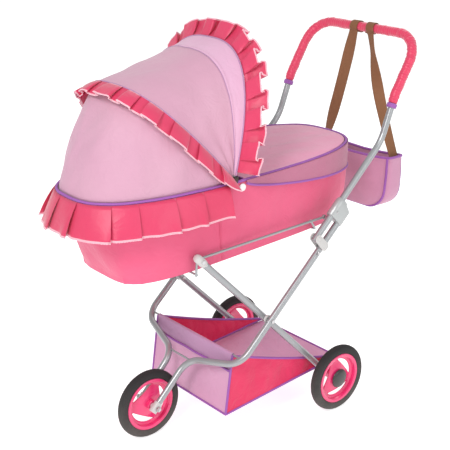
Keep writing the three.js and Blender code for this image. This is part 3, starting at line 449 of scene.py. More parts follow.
def surface(name: str, points: Grid, finish: Finish, wrap: bool = False, thickness: float = 0.0) -> Piece:
    """Makes a piece of a grid of points, with a UV map in metres along its rows and columns.

    Args:
        name: the piece's name.
        points: rows by columns by 3, in millimetres from the axle.
        finish: its finish.
        wrap: whether each row closes on itself.
        thickness: the cloth's thickness in millimetres, or 0 for a surface left as it is.

    Returns:
        The piece.
    """
    world = place(points)
    rows, cols = world.shape[:2]
    ring = np.concatenate([world, world[:, :1]], axis=1) if wrap else world
    across = np.zeros(ring.shape[:2])
    across[:, 1:] = np.cumsum(np.linalg.norm(np.diff(ring, axis=1), axis=2).mean(0))[None, :]
    down = np.zeros(ring.shape[:2])
    down[1:, :] = np.cumsum(np.linalg.norm(np.diff(ring, axis=0), axis=2).mean(1))[:, None]
    faces, corners = [], []
    for i in range(rows - 1):
        for k in range(ring.shape[1] - 1):
            j = (k + 1) % cols
            faces.append((i * cols + k, i * cols + j, (i + 1) * cols + j, (i + 1) * cols + k))
            corners += [(i, k), (i, k + 1), (i + 1, k + 1), (i + 1, k)]
    mesh = bpy.data.meshes.new(name)
    mesh.from_pydata(world.reshape(-1, 3).tolist(), [], faces)
    at = np.array(corners)
    uv = np.stack([across[at[:, 0], at[:, 1]], down[at[:, 0], at[:, 1]]], axis=1)
    mesh.uv_layers.new(name="cloth").data.foreach_set("uv", uv.astype(np.float32).ravel())
    mesh.validate()
    piece = smooth(link(name, mesh, finish), 60)
    if thickness:
        wall = piece.modifiers.new("thickness", "SOLIDIFY")
        wall.thickness = thickness * MM
        wall.offset = 0.0
    return piece


def outward(piece: Piece) -> Piece:
    """Merges a closed piece's doubles and turns its faces outwards."""
    work = bmesh.new()
    work.from_mesh(piece.data)
    bmesh.ops.remove_doubles(work, verts=work.verts, dist=1e-6)
    bmesh.ops.recalc_face_normals(work, faces=work.faces)
    work.to_mesh(piece.data)
    work.free()
    return piece


def ripple(points: Grid, size: float, seed: float, stretch: Point = (1.0, 1.0, 1.0)) -> Grid:
    """Gives smooth noise at each point.

    Args:
        points: points in millimetres, any shape with x, y and z last.
        size: the noise's lumps, in millimetres.
        seed: which noise.
        stretch: how many times longer the lumps are along each axis.

    Returns:
        Values between about -1 and 1.
    """
    flat = points.reshape(-1, 3) / (size * np.array(stretch)) + seed * 7.3
    values = [noise.noise(Vector(p)) for p in flat.tolist()]
    return np.array(values).reshape(points.shape[:-1])


def bent(corners: Sequence[Point], radii: Sequence[float], steps: int = 10) -> Grid:
    """Rounds the inner corners of a line with true arcs.

    Args:
        corners: the line's corner points.
        radii: the bend radius at each inner corner.
        steps: how many stretches each bend is made of.

    Returns:
        The stations along the line.
    """
    points = [Vector(c) for c in corners]
    stations = [points[0]]
    for before, corner, after, wanted in zip(points, points[1:], points[2:], radii):
        into, out = corner - before, after - corner
        room = min(into.length, out.length) * 0.49
        into.normalize()
        out.normalize()
        turn = into.angle(out)
        reach = min(wanted * math.tan(turn / 2), room)
        radius = reach / math.tan(turn / 2)
        inward = (out - into * math.cos(turn)).normalized()
        for k in range(steps + 1):
            angle = turn * k / steps
            along, across = radius * math.sin(angle) - reach, radius * (1 - math.cos(angle))
            stations.append(corner + into * along + inward * across)
    stations.append(points[-1])
    return np.array([tuple(s) for s in stations])


def resample(line: Grid, count: int) -> Grid:
    """Puts an even number of points along a line."""
    lengths = np.concatenate([[0], np.cumsum(np.linalg.norm(np.diff(line, axis=0), axis=1))])
    wanted = np.linspace(0, lengths[-1], count)
    return np.stack([np.interp(wanted, lengths, line[:, i]) for i in range(3)], axis=1)


def frames(line: Grid, start: Point = (1.0, 0.0, 0.0)) -> tuple[Grid, Grid, Grid]:
    """Gives the tangent and two steady cross directions at each point of a line.

    Args:
        line: the line's points.
        start: a direction near the first cross direction wanted.

    Returns:
        Tangents, first cross directions and second cross directions.
    """
    tangents = np.gradient(line, axis=0)
    tangents /= np.linalg.norm(tangents, axis=1)[:, None]
    side = np.array(start, float)
    sides = []
    for tangent in tangents:
        side = side - tangent * side.dot(tangent)
        side /= np.linalg.norm(side)
        sides.append(side)
    first = np.array(sides)
    return tangents, first, np.cross(tangents, first)


def line_tree(name: str, inputs: Sequence[tuple]) -> tuple[bpy.types.NodeTree, Graph, bpy.types.Node, dict]:
    """Starts a Geometry Nodes tree that works along a line.

    Args:
        name: the tree's name.
        inputs: (name, socket type) for each input beside the line.

    Returns:
        The tree, its graph, its input node and each input's identifier by name.
    """
    tree = bpy.data.node_groups.new(name, "GeometryNodeTree")
    face = tree.interface
    face.new_socket(name="Geometry", in_out="INPUT", socket_type="NodeSocketGeometry")
    keys = {}
    for label, kind in inputs:
        keys[label] = face.new_socket(name=label, in_out="INPUT", socket_type=kind).identifier
    face.new_socket(name="Geometry", in_out="OUTPUT", socket_type="NodeSocketGeometry")
    graph = Graph(tree)
    return tree, graph, graph.node("NodeGroupInput"), keys


class TubeMaker:
    """Geometry Nodes that sweep a round section along a line."""

    def __init__(self) -> None:
        """Builds the tree with its named inputs."""
        inputs = [("Radius", "NodeSocketFloat"), ("Sides", "NodeSocketInt"), ("Material", "NodeSocketMaterial")]
        self.tree, graph, source, self.keys = line_tree("swept_tube", inputs)
        line = graph.node("GeometryNodeMeshToCurve", {0: source.outputs["Geometry"]})
        section = graph.node("GeometryNodeCurvePrimitiveCircle",
            {"Resolution": source.outputs["Sides"], "Radius": source.outputs["Radius"]})
        swept = graph.node("GeometryNodeCurveToMesh",
            {"Curve": line.outputs[0], "Profile Curve": section.outputs[0], "Fill Caps": True})
        made = graph.node("GeometryNodeSetMaterial",
            {"Geometry": swept.outputs[0], "Material": source.outputs["Material"]})
        real = graph.node("GeometryNodeRealizeInstances", {"Geometry": made.outputs[0]})
        graph.node("NodeGroupOutput", {0: real.outputs[0]})

    def make(self, name: str, line: Grid, radius: float, finish: Finish, sides: int = 20,
            loop: bool = False) -> Piece:
        """Sweeps one tube.

        Args:
            name: the piece's name.
            line: its centre line, in millimetres from the axle.
            radius: its radius in millimetres.
            finish: its finish.
            sides: how many sides its section has.
            loop: whether it closes on itself.

        Returns:
            The piece, a plain mesh with its seam closed.
        """
        world = place(line)
        edges = [(i, i + 1) for i in range(len(world) - 1)]
        if loop:
            edges.append((len(world) - 1, 0))
        mesh = bpy.data.meshes.new(name)
        mesh.from_pydata(world.tolist(), edges, [])
        values = {"Radius": radius * MM, "Sides": sides, "Material": finish.material()}
        return smooth(run_tree(name, mesh, self.tree, self.keys, values, finish))


class StitchMaker:
    """Geometry Nodes that set small stitches or thread loops along a line."""

    def __init__(self) -> None:
        """Builds the tree with its named inputs and a fixed seed."""
        inputs = [(label, "NodeSocketFloat") for label in ("Spacing", "Length", "Thickness")]
        inputs.append(("Material", "NodeSocketMaterial"))
        self.tree, graph, source, self.keys = line_tree("stitch_run", inputs)
        line = graph.node("GeometryNodeMeshToCurve", {0: source.outputs["Geometry"]})
        even = graph.node("GeometryNodeResampleCurve",
            {"Curve": line.outputs[0], "Length": source.outputs["Spacing"]}, mode="LENGTH")
        bead = graph.node("GeometryNodeMeshUVSphere", {"Segments": 6, "Rings": 4, "Radius": 1.0})
        along = graph.node("FunctionNodeAlignRotationToVector",
            {"Vector": graph.node("GeometryNodeInputTangent").outputs[0]}, axis="Z")
        uneven = graph.node("FunctionNodeRandomValue", {2: 0.85, 3: 1.15, "Seed": 11}, data_type="FLOAT")
        size = graph.node("ShaderNodeCombineXYZ",
            {0: source.outputs["Thickness"], 1: source.outputs["Thickness"], 2: source.outputs["Length"]})
        scale = graph.node("ShaderNodeVectorMath", {0: size.outputs[0], "Scale": uneven.outputs[1]},
            operation="SCALE")
        inputs = {"Points": even.outputs[0], "Instance": bead.outputs[0], "Rotation": along.outputs[0],
            "Scale": scale.outputs[0]}
        run = graph.node("GeometryNodeInstanceOnPoints", inputs)
        real = graph.node("GeometryNodeRealizeInstances", {"Geometry": run.outputs[0]})
        made = graph.node("GeometryNodeSetMaterial",
            {"Geometry": real.outputs[0], "Material": source.outputs["Material"]})
        graph.node("NodeGroupOutput", {0: made.outputs[0]})

    def make(self, name: str, lines: Sequence[Grid], spacing: float, length: float, thickness: float,
            finish: Finish) -> Piece:
        """Sets one run of stitches.

        Args:
            name: the piece's name.
            lines: the lines that it follows, in millimetres from the axle.
            spacing: from one stitch to the next, in millimetres.
            length: a stitch's length.
            thickness: a stitch's thickness.
            finish: its thread.

        Returns:
            The piece, a plain mesh.
        """
        points, edges = [], []
        for line in lines:
            first = len(points)
            points += place(line).tolist()
            edges += [(first + i, first + i + 1) for i in range(len(line) - 1)]
        mesh = bpy.data.meshes.new(name)
        mesh.from_pydata(points, edges, [])
        values = {"Spacing": spacing * MM, "Length": length / 2 * MM, "Thickness": thickness / 2 * MM,
            "Material": finish.material()}
        return smooth(run_tree(name, mesh, self.tree, self.keys, values, finish), 80)


def run_tree(name: str, mesh: bpy.types.Mesh, tree: bpy.types.NodeTree, keys: dict, values: dict,
        finish: Finish) -> Piece:
    """Runs a Geometry Nodes tree over a line and keeps the result as a plain mesh.

    Args:
        name: the piece's name.
        mesh: the line, as a mesh of edges.
        tree: the tree.
        keys: each input's identifier by its name.
        values: the inputs' values by name.
        finish: the finish for the piece.

    Returns:
        The piece.
    """
    seed = bpy.data.objects.new(name + "_line", mesh)
    bpy.context.scene.collection.objects.link(seed)
    modifier = seed.modifiers.new("tree", "NODES")
    modifier.node_group = tree
    for label, value in values.items():
        modifier[keys[label]] = value
    graph = bpy.context.evaluated_depsgraph_get()
    made = bpy.data.meshes.new_from_object(seed.evaluated_get(graph))
    bpy.data.objects.remove(seed)
    made.name = name
    return link(name, made, finish)


TUBES = TubeMaker()
STITCHES = StitchMaker()


def lathe(name: str, profile: Sequence[tuple], centre: Point, axis: Point, finish: Finish, steps: int = 48) -> Piece:
    """Turns a profile round an axis.

    Args:
        name: the piece's name.
        profile: (radius, distance along the axis) pairs in millimetres, from and to the axis or closed.
        centre: the point of the axis at distance 0.
        axis: the axis's direction.
        finish: its finish.
        steps: how many steps the turn has.

    Returns:
        The piece, closed and facing out.
    """
    turn = Vector((0, 0, 1)).rotation_difference(Vector(axis)).to_matrix()
    angles = np.linspace(0, 2 * math.pi, steps, endpoint=False)
    rings = [[turn @ Vector((r * math.cos(a), r * math.sin(a), d)) for a in angles] for r, d in profile]
    points = np.array([[tuple(p) for p in ring] for ring in rings]) + np.array(centre)
    return smooth(outward(surface(name, points, finish, wrap=True)), 35)


def refined(node: str, finish: Finish, bevel: float = 0.8) -> Piece:
    """Makes a copy of a CAD node with rounded edges, which stands for it.

    Args:
        node: the CAD node.
        finish: its finish.
        bevel: the width of its rounded edges, in millimetres.

    Returns:
        The piece.
    """
    piece = outward(link(node + "_moulding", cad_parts[node].data.copy(), finish))
    rounded = piece.modifiers.new("edges", "BEVEL")
    rounded.width = bevel * MM
    rounded.segments = 3
    rounded.limit_method = "ANGLE"
    rounded.angle_limit = math.radians(38)
    rounded.harden_normals = False
    smooth(piece, 50)
    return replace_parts(piece, node)


def rivet_head(name: str, x: float, y: float, z: float, facing: float, radius: float = 3.6) -> Piece:
    """Makes a domed rivet head with its dimple, facing along x."""
    profile = [(0, 0.7), (0.8, 0.75), (1.2, 1.5), (radius * 0.6, 1.45), (radius * 0.9, 0.9), (radius, 0.0), (0, 0.0)]
    return lathe(name, profile, (x, y, z), (facing, 0, 0), Finish.STEEL, 24)


def ride_all(body: str, pieces: Sequence[Piece]) -> None:
    """Makes each piece ride on a body and reports it."""
    for piece in pieces:
        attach(piece, body)
        LOG.info("%s rides on %s", piece.name, body)


def as_cloth(piece: Piece) -> Piece:
    """Gives a sheet of cloth back unchanged.

    Args:
        piece: the sheet.

    Returns:
        The sheet.
    """
    return piece


class Pleat(Enum):
    """How a frill's cloth is folded."""

    BOX = "box"
    KNIFE = "knife"


def frill(seam: Grid, down: Grid, out: Grid, style: Pleat, pitch: float, drop: float, flare: float,
          depth: float, seed: int) -> Grid:
    """Folds a strip of cloth along a seam.

    Args:
        seam: points along the seam.
        down: at each, the direction in which the cloth leaves it.
        out: at each, the direction in which the folds stand out.
        style: the kind of pleat.
        pitch: from one pleat to the next.
        drop: the strip's width.
        flare: how far the hem stands out from the seam.
        depth: how far the folds stand out at the hem.
        seed: which unevenness.

    Returns:
        The strip's grid, from seam to hem.
    """
    lengths = np.concatenate([[0], np.cumsum(np.linalg.norm(np.diff(seam, axis=0), axis=1))])
    total = lengths[-1]
    count = max(3, round(total / pitch))
    random = np.random.default_rng(seed)
    ends = np.concatenate([[0], np.cumsum(1 + 0.22 * random.uniform(-1, 1, count))])
    ends /= ends[-1]
    places, heights, bellies = [], [], []
    steps = np.linspace(0, 1, 24, endpoint=False)
    for k in range(count):
        tall = 1 + 0.25 * random.uniform(-1, 1)
        if style is Pleat.BOX:
            along = steps - 1.9 * np.sin(4 * math.pi * steps) / (4 * math.pi)
            height = 0.5 + 0.5 * np.tanh(1.2 * np.sin(2 * math.pi * steps)) / math.tanh(1.2)
        else:
            folded = steps > 0.8
            along = np.where(folded, 1.16 - 0.16 * (steps - 0.8) / 0.2, steps / 0.8 * 1.16)
            height = np.where(folded, 1 - (steps - 0.8) / 0.2, (steps / 0.8) ** 1.3)
        places.append(ends[k] + along * (ends[k + 1] - ends[k]))
        heights.append(height * tall)
        bellies.append(np.sin(math.pi * steps) * tall)
    at = np.clip(np.append(np.concatenate(places), 1.0), 0, 1) * total
    height, belly = np.append(np.concatenate(heights), 0.0), np.append(np.concatenate(bellies), 0.0)
    points, falls, stands = [np.stack([np.interp(at, lengths, a[:, i]) for i in range(3)], axis=1)
        for a in (seam, down, out)]
    bow = ripple(points, pitch * 0.8, seed + 0.5)
    rows = []
    for v in np.linspace(0, 1, 10):
        spread = 0.04 + 0.96 * v**0.6
        reach = drop * v * (1 + 0.05 * bow)
        rise = flare * v * (1.2 - 0.2 * v) + depth * spread * (height - 0.35) + 2.2 * v * bow
        rise += 0.16 * depth * math.sin(math.pi * v) * belly + 0.2 * depth * v**3 * np.sin(9 * height + 7 * bow)
        rows.append(points + falls * reach[:, None] + stands * np.maximum(rise, 0.15)[:, None])
    return np.array(rows)


def frill_piece(name: str, points: Grid, drop: float) -> list[Piece]:
    """Makes a frill's cloth with its pale edge band, and the picot loops along its hem.

    Args:
        name: the frill's name.
        points: its grid.
        drop: the strip's width in millimetres.

    Returns:
        The cloth and the loops.
    """
    cloth = surface(name, points, Finish.FRILL, thickness=0.5)
    rows = points.shape[0]
    share = np.repeat(np.linspace(0, 1, rows), points.shape[1])
    hem = cloth.data.attributes.new("hem", "FLOAT", "POINT")
    hem_width = 4.5
    near_hem = (share - (1 - hem_width / drop)) * drop / hem_width + 0.5 * (share > 0.999)
    hem.data.foreach_set("value", np.clip(near_hem, 0, 1).astype(np.float32))
    as_cloth(cloth)
    loops = STITCHES.make(name + "_picot", [points[-1]], 2.6, 2.2, 1.5, Finish.PICOT)
    return [cloth, loops]


# ---- shapes shared by several pieces --------------------------------------------------------------------


@dataclass(frozen=True)
class Oval:
    """A long oval with squared-off ends, lying nearly level.

    Attributes:
        y: its middle.
        head: how far it reaches forwards from there.
        foot: how far it reaches back.
        half_width: its half width.
        head_power: how square its head end is.
        foot_power: how square its foot end is.
        z: its height at its middle.
        tilt: its rise for each millimetre back.
    """

    y: float
    head: float
    foot: float
    half_width: float
    head_power: float
    foot_power: float
    z: float
    tilt: float

    def height(self, y: Grid) -> Grid:
        """Gives the height at each y."""
        return self.z + self.tilt * (y - self.y)

    def points(self, angles: Grid, inset: float = 0.0, lift: float = 0.0) -> Grid:
        """Gives points round the oval: 0 is at +x, a quarter turn at the foot.

        Args:
            angles: the angles.
            inset: how far inside the oval.
            lift: how far above it.

        Returns:
            The points.
        """
        c, s = np.cos(angles), np.sin(angles)
        power = 2 / np.where(s < 0, self.head_power, self.foot_power)
        x = (self.half_width - inset) * np.sign(c) * np.abs(c) ** power
        reach = np.where(s < 0, self.head, self.foot) - inset
        y = self.y + reach * np.sign(s) * np.abs(s) ** power
        return np.stack([x, y, self.height(y) + lift], axis=-1)

    def angle_at(self, y: float, inset: float = 0.0) -> float:
        """Gives the angle at which the +x side passes a y."""
        behind = y > self.y
        share = abs(y - self.y) / ((self.foot if behind else self.head) - inset)
        angle = math.asin(share ** ((self.foot_power if behind else self.head_power) / 2))
        return angle if behind else -angle


RIM = Oval(-206, 310, 318, 134, 2.75, 2.9, 461, 0.027)
FLOOR = Oval(-180, 274, 264, 105, 4.5, 4.5, 309.5, 0.0436)
HOOD_PIVOT = (-258.0, float(RIM.height(np.array(-258.0))) + 10)


def mix(a: float | Grid, b: float | Grid, share: float) -> float | Grid:
    """Goes a share of the way from a to b."""
    return a + (b - a) * share


def rim_line(start: float, end: float, inset: float, lift: float, count: int) -> Grid:
    """Gives evenly spread points along the rim between two angles."""
    return resample(RIM.points(np.linspace(start, end, 1200), inset, lift), count)


def level_out(points: Grid) -> Grid:
    """Gives the level direction square to a line of points, away from the carrycot's middle."""
    along = np.gradient(points, axis=0)
    out = np.stack([along[:, 1], -along[:, 0], np.zeros(len(along))], axis=1)
    out /= np.linalg.norm(out, axis=1)[:, None]
    middle = np.array([0.0, -206.0, 0.0])
    flip = np.sign(((points - middle) * out).sum(1))
    return out * flip[:, None]


# ---- the frame ------------------------------------------------------------------------------------------


@dataclass
class Frame:
    """The bent tubes, rods, axle and brackets of the chassis and the two rear legs.

    Attributes:
        tube: the tubes' radius.
        frame_x: how far the long tubes' centre lines stand from the middle.
        fork_x: how far the fork's do.
        leg_x: how far the rear legs' do.
        wheelbase: from axle to axle.
        slope: the long tubes' slope in degrees.
        straight: the length of their straight part.
        leg: the length of a rear leg above the axle.
    """

    tube: float = 6.5
    frame_x: float = 146.5
    fork_x: float = 22.6
    leg_x: float = 128.0
    wheelbase: float = 359.0
    slope: float = 42.47
    straight: float = 360.3
    leg: float = 480.0

    def line(self, side: int) -> Grid:
        """Gives a long frame tube's centre line on one side."""
        end = Vector((self.fork_x, -self.wheelbase, 0))
        shoulder = Vector((self.fork_x + 1.7, 78.7 - self.wheelbase, 79))
        elbow = Vector((self.frame_x, 107.7 - self.wheelbase, 104.9))
        lean = math.radians(self.slope)
        top = elbow + Vector((0, math.cos(lean), math.sin(lean))) * self.straight
        end += (end - shoulder).normalized() * 9
        return bent([tuple(end), tuple(shoulder), tuple(elbow), tuple(top)], [40, 42], 14) * np.array([side, 1, 1])

    def build(self) -> None:
        """Builds the chassis and the legs."""
        for side, name in SIDES:
            tube = TUBES.make(f"{name}_long_tube", self.line(side), self.tube, Finish.TUBE, 28)
            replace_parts(tube, f"{name}_frame_tube")
            extras = [refined(f"{name}_{part}", Finish.GREY, 0.9)
                for part in ("fork_end", "hinge_bracket", "crossing_spacer")]
            crossing = refined(f"{name}_crossing_rivet", Finish.STEEL, 0.6)
            heads = [rivet_head(f"{name}_hinge_rivet", side * 157.0, -61.0, 287.0, side)]
            ride_all("chassis", [tube, *extras, crossing, *heads])
            self.build_leg(side, name)
        rods = []
        for node in ("fork_brace_rod", "basket_front_rod"):
            low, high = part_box(node)
            middle = ((low + high) / 2 - AXLE) / MM
            half = (high.x - low.x) / 2 / MM
            line = np.array([[-half, middle.y, middle.z], [half, middle.y, middle.z]])
            rods.append(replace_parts(TUBES.make(node + "_wire", resample(line, 9), 2.0, Finish.TUBE, 16), node))
        bolts = [refined("front_axle_bolt", Finish.STEEL, 0.5), refined("front_axle_nut", Finish.STEEL, 0.5)]
        ride_all("chassis", rods + bolts)

    def build_leg(self, side: int, name: str) -> None:
        """Builds one rear leg with its cap and rivets."""
        down = math.sqrt(0.5)
        foot = (side * self.leg_x, 9 * down, -9 * down)
        top = (side * self.leg_x, -self.leg * down, self.leg * down)
        leg = TUBES.make(f"{name}_leg_tube", resample(np.array([foot, top]), 30), self.tube, Finish.TUBE, 28)
        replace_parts(leg, f"{name}_rear_leg")
        profile = [(0, 3.0), (3, 2.8), (6, 1.2), (7.6, -2), (8, -6), (8, -22.5), (7.6, -24), (6.6, -24), (6.6, 0.4),
            (0, 0.4)]
        cap = lathe(f"{name}_leg_cap_moulding", profile, top, (0, -down, down), Finish.GREY, 32)
        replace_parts(cap, f"{name}_leg_end_cap")
        rivet = refined(f"{name}_rail_pivot_rivet", Finish.STEEL, 0.5)
        lower = rivet_head(f"{name}_leg_rivet", side * (self.leg_x + self.tube - 0.3), -322, 322, side, 3.0)
        ride_all("rear_legs", [leg, cap, rivet, lower])


@dataclass
class Wheel:
    """A foam tyre on a dished pink wheel with three curved openings.

    Attributes:
        name: the wheel's name.
        body: the body that it rides on.
        x: its middle plane.
        y: its axle.
        facing: 1 or -1 for the side that its dish and cap face.
        capped: whether it has a black hub cap.
        nodes: the CAD nodes that it stands for: tyre, rim and perhaps cap.
        phase: where its first opening lies, in degrees.
    """

    name: str
    body: str
    x: float
    y: float
    facing: int
    capped: bool
    nodes: tuple
    phase: float = 60.0

    def build(self) -> None:
        """Builds the wheel's pieces."""
        pieces = [self.tyre(), self.rim(), self.web(), self.hub()]
        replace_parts(pieces[0], self.nodes[0])
        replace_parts(pieces[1], self.nodes[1])
        if self.capped:
            profile = [(0, 6.0), (7, 5.7), (13, 4.7), (17.5, 3.0), (19.6, 1.3), (20, 0.2), (20, 0.0), (0, 0.0)]
            cap = lathe(f"{self.name}_cap", profile, (self.x + self.facing * 7.6, self.y, 0), (self.facing, 0, 0),
                Finish.BLACK)
            pieces.append(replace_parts(cap, self.nodes[2]))
        ride_all(self.body, pieces)

    def tyre(self) -> Piece:
        """Makes the tyre, with its flat tread and rounded shoulders."""
        round_ = [(61.5 + 8.5 * math.cos(a) ** 0.75, 9.3 * math.sin(a)) for a in np.linspace(0, math.pi / 2, 9)]
        outer = [(r, d) for r, d in round_]
        profile = [(r, -d) for r, d in reversed(outer)] + outer[1:]
        profile += [(56, 8.9), (53.6, 7.2), (53.4, 0), (53.6, -7.2), (56, -8.9)]
        profile.append(profile[0])
        return lathe(f"{self.name}_foam", profile, (self.x, self.y, 0), (1, 0, 0), Finish.FOAM, 96)

    def rim(self) -> Piece:
        """Makes the wheel's outer band with its lips."""
        profile = [(53.2, -7.6), (53.2, 7.6), (52.2, 8.4), (47.8, 8.4), (46.2, 7.4), (45.6, 5.0), (45.4, 0),
            (45.6, -5.0),
                   (46.2, -7.4), (47.8, -8.4), (52.2, -8.4), (53.2, -7.6)]
        return lathe(f"{self.name}_band", profile, (self.x, self.y, 0), (1, 0, 0), Finish.WHEEL, 96)

    def web(self) -> Piece:
        """Makes the dished web with its three crescent openings."""
        angles = np.linspace(0, 2 * math.pi, 216, endpoint=False)
        outer_edge, wide = 40.0, 13.0
        turned = (angles - math.radians(self.phase)) % (2 * math.pi / 3) - math.pi / 3
        width = wide * np.clip(1 - (turned / math.radians(47)) ** 2, 0, 1) ** 0.8
        patches = []
        for inner, outer, steps in ((np.full(216, 9.0), outer_edge - width, 12),
                (np.full(216, outer_edge), np.full(216, 48.4), 5)):
            share = np.linspace(0, 1, steps)[:, None]
            radii = inner[None] * (1 - share) + outer[None] * share
            bowl = 3.5 * np.cos(np.clip((radii - 9) / 31, 0, 1) * math.pi)
            dish = self.facing * (bowl + 2.6 * np.clip((radii - 40) / 4, 0, 1))
            patches.append(np.stack([self.x + dish, self.y + radii * np.cos(angles), radii * np.sin(angles)],
                axis=-1))
        pieces = [surface(f"{self.name}_web_{k}", patch, Finish.WHEEL, wrap=True) for k, patch in enumerate(patches)]
        work = bmesh.new()
        for piece in pieces:
            work.from_mesh(piece.data)
            bpy.data.objects.remove(piece)
        bmesh.ops.remove_doubles(work, verts=work.verts, dist=2e-5)
        bmesh.ops.recalc_face_normals(work, faces=work.faces)
        mesh = bpy.data.meshes.new(f"{self.name}_web")
        work.to_mesh(mesh)
        work.free()
        web = smooth(link(f"{self.name}_web", mesh, Finish.WHEEL), 60)
        wall = web.modifiers.new("wall", "SOLIDIFY")
        wall.thickness = 3.2 * MM
        wall.offset = 0
        edges = web.modifiers.new("edges", "BEVEL")
        edges.width = 0.8 * MM
        edges.segments = 2
        edges.limit_method = "ANGLE"
        edges.angle_limit = math.radians(50)
        return web

    def hub(self) -> Piece:
        """Makes the hub that the axle runs through."""
        reach = 12.5
        profile = [(3.2, -reach), (8, -reach), (9.6, -reach + 1.2), (10.4, -3), (10.4, 3), (9.6, reach - 1.2),
            (8, reach), (3.2, reach)]
        if self.capped:
            profile = [(3.2, -26.0), (8.5, -26.0), (9.6, -24.5), (10.6, -4), (10.6, 7.0), (3.2, 7.0)]
        profile.append(profile[0])
        return lathe(f"{self.name}_hub", profile, (self.x, self.y, 0), (self.facing, 0, 0), Finish.WHEEL, 32)


@dataclass
class Handle:
    """The U-shaped handle with its gathered grip, and the sleeves that lock it to the frame.

    Attributes:
        x: how far its sides stand from the middle.
        tube: its radius.
        grip: the grip's radius.
    """

    x: float = 146.5
    tube: float = 6.5
    grip: float = 9.6

    def corners(self) -> list[Point]:
        """Gives the corners of its left half, from the hinge up to the bar."""
        return [(self.x, -65.7, 309.8), (self.x, 111.7, 476.8), (self.x, 145.8, 565.4), (self.x, 212.1, 674.4)]

    def build(self) -> None:
        """Builds the handle, its grip and the locks."""
        half = self.corners()
        other = [(-x, y, z) for x, y, z in reversed(half)]
        line = bent(half + other, [90, 60, 56, 56, 60, 90], 14)
        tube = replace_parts(TUBES.make("handle_bar_tube", line, self.tube, Finish.TUBE, 28), "handle_tube")
        studs = []
        for side, name in SIDES:
            profile = [(0, 0), (3, 0), (3, 3.2), (2.6, 3.6), (0, 3.6)]
            at = (side * (self.x - self.tube + 0.1), -26.4, 346.8)
            studs.append(lathe(f"{name}_rail_stud", profile, at, (-side, 0, 0), Finish.STEEL, 20))
            lock = self.lock_sleeve(side, name)
            button = lathe(f"{name}_lock_pin", [(0, 1.8), (1.4, 1.7), (2.2, 0.9), (2.2, 0), (0, 0)],
                           (side * (self.x + 9.9), -14, 359), (side, 0, 0), Finish.STEEL, 16)
            ride_all(f"{name}_lock", [lock, button])
        grip = self.gathered_grip()
        bands = [self.band(side, name) for side, name in ((1, "left"), (-1, "right"))]
        ride_all("handle", [tube, *studs, grip, *bands])

    def lock_sleeve(self, side: int, name: str) -> Piece:
        """Makes the rounded sleeve that slides on the handle and sits over the frame tube's end."""
        along = np.array([0, 0.728126, 0.685444])
        towards = np.array([0, along[2], -along[1]])
        middle = np.array([side * self.x, -60.6, 314.6]) + along * 73.0
        top = np.array([side * self.x, 14.5, 348.2])
        apart = float((top - middle) @ towards)
        turns = np.linspace(0, 2 * math.pi, 48, endpoint=False)
        near = np.cos(turns) > 0
        rings = []
        for at, grow in ((-21, -2.6), (-20.4, -0.9), (-19, 0.0), (12, 0.0), (17, -0.6), (20, -1.8), (21, -3.4)):
            radius = np.where(near, 8.6, 10.0) + grow
            x = radius * np.sin(turns)
            reach = radius * np.cos(turns) + np.where(near, apart if at < 16 else apart * 0.4, 0)
            rings.append(middle + along * at + np.outer(x, [1, 0, 0]) + np.outer(reach, towards))
        points = np.array(rings)
        sleeve = surface(f"{name}_lock_sleeve_body", points, Finish.SLEEVE, wrap=True)
        close_ends(sleeve, points.shape)
        smooth(sleeve, 35)
        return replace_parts(sleeve, f"{name}_lock_sleeve")

    def grip_line(self) -> Grid:
        """Gives the grip's centre line."""
        half = [(self.x, 139.8, 550.0), *self.corners()[2:]]
        other = [(-x, y, z) for x, y, z in reversed(half)]
        return resample(bent(half + other, [60, 56, 56, 60], 20), 620)

    def gathered_grip(self) -> Piece:
        """Makes the satin tube, gathered into fine folds along the handle and tighter in the bends."""
        line = self.grip_line()
        tangents, first, second = frames(line)
        lengths = np.concatenate([[0], np.cumsum(np.linalg.norm(np.diff(line, axis=0), axis=1))])
        turns = np.linspace(0, 2 * math.pi, 32, endpoint=False)
        curve = np.linalg.norm(np.gradient(tangents, axis=0), axis=1)
        tight = 0.5 + 0.6 * np.clip(curve / (curve.max() + 1e-9), 0, 1)
        random = np.array([[noise.noise(Vector((s / 6.4, math.cos(a) * 0.55, math.sin(a) * 0.55))) for a in turns]
            for s in lengths])
        broad = np.array([[noise.noise(Vector((s / 21, math.cos(a) + 9, math.sin(a)))) for a in turns]
            for s in lengths])
        radius = self.grip + tight[:, None] * (1.5 * random + 0.7 * broad) + 0.25 * np.sin(lengths / 0.9)[:, None]
        ends = np.clip(np.minimum(lengths, lengths[-1] - lengths) / 5.0, 0, 1) ** 0.6
        radius = np.maximum(radius, 7.4) * (0.8 + 0.2 * ends[:, None])
        points = line[:, None] + radius[..., None] * (
            np.cos(turns)[None, :, None] * first[:, None] + np.sin(turns)[None, :, None] * second[:, None])
        grip = surface("gathered_grip_cover", points, Finish.GRIP, wrap=True)
        close_ends(grip, points.shape)
        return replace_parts(grip, "handle_grip")

    def band(self, side: int, name: str) -> Piece:
        """Makes the lilac band at one end of the grip."""
        top = Vector((side * self.x, 139.8, 550.0))
        along = (Vector(self.corners()[2]) - Vector(self.corners()[1])).normalized()
        along.x = 0
        profile = [(7, -9.2), (9.4, -9.2), (10.2, -8.2), (9.9, -6), (10.3, -4), (9.9, -2), (10.1, -0.6), (7, -0.3)]
        profile.append(profile[0])
        band = lathe(f"{name}_grip_end_band", profile, tuple(top), tuple(along), Finish.BINDING, 40)
        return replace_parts(band, f"{name}_grip_band")


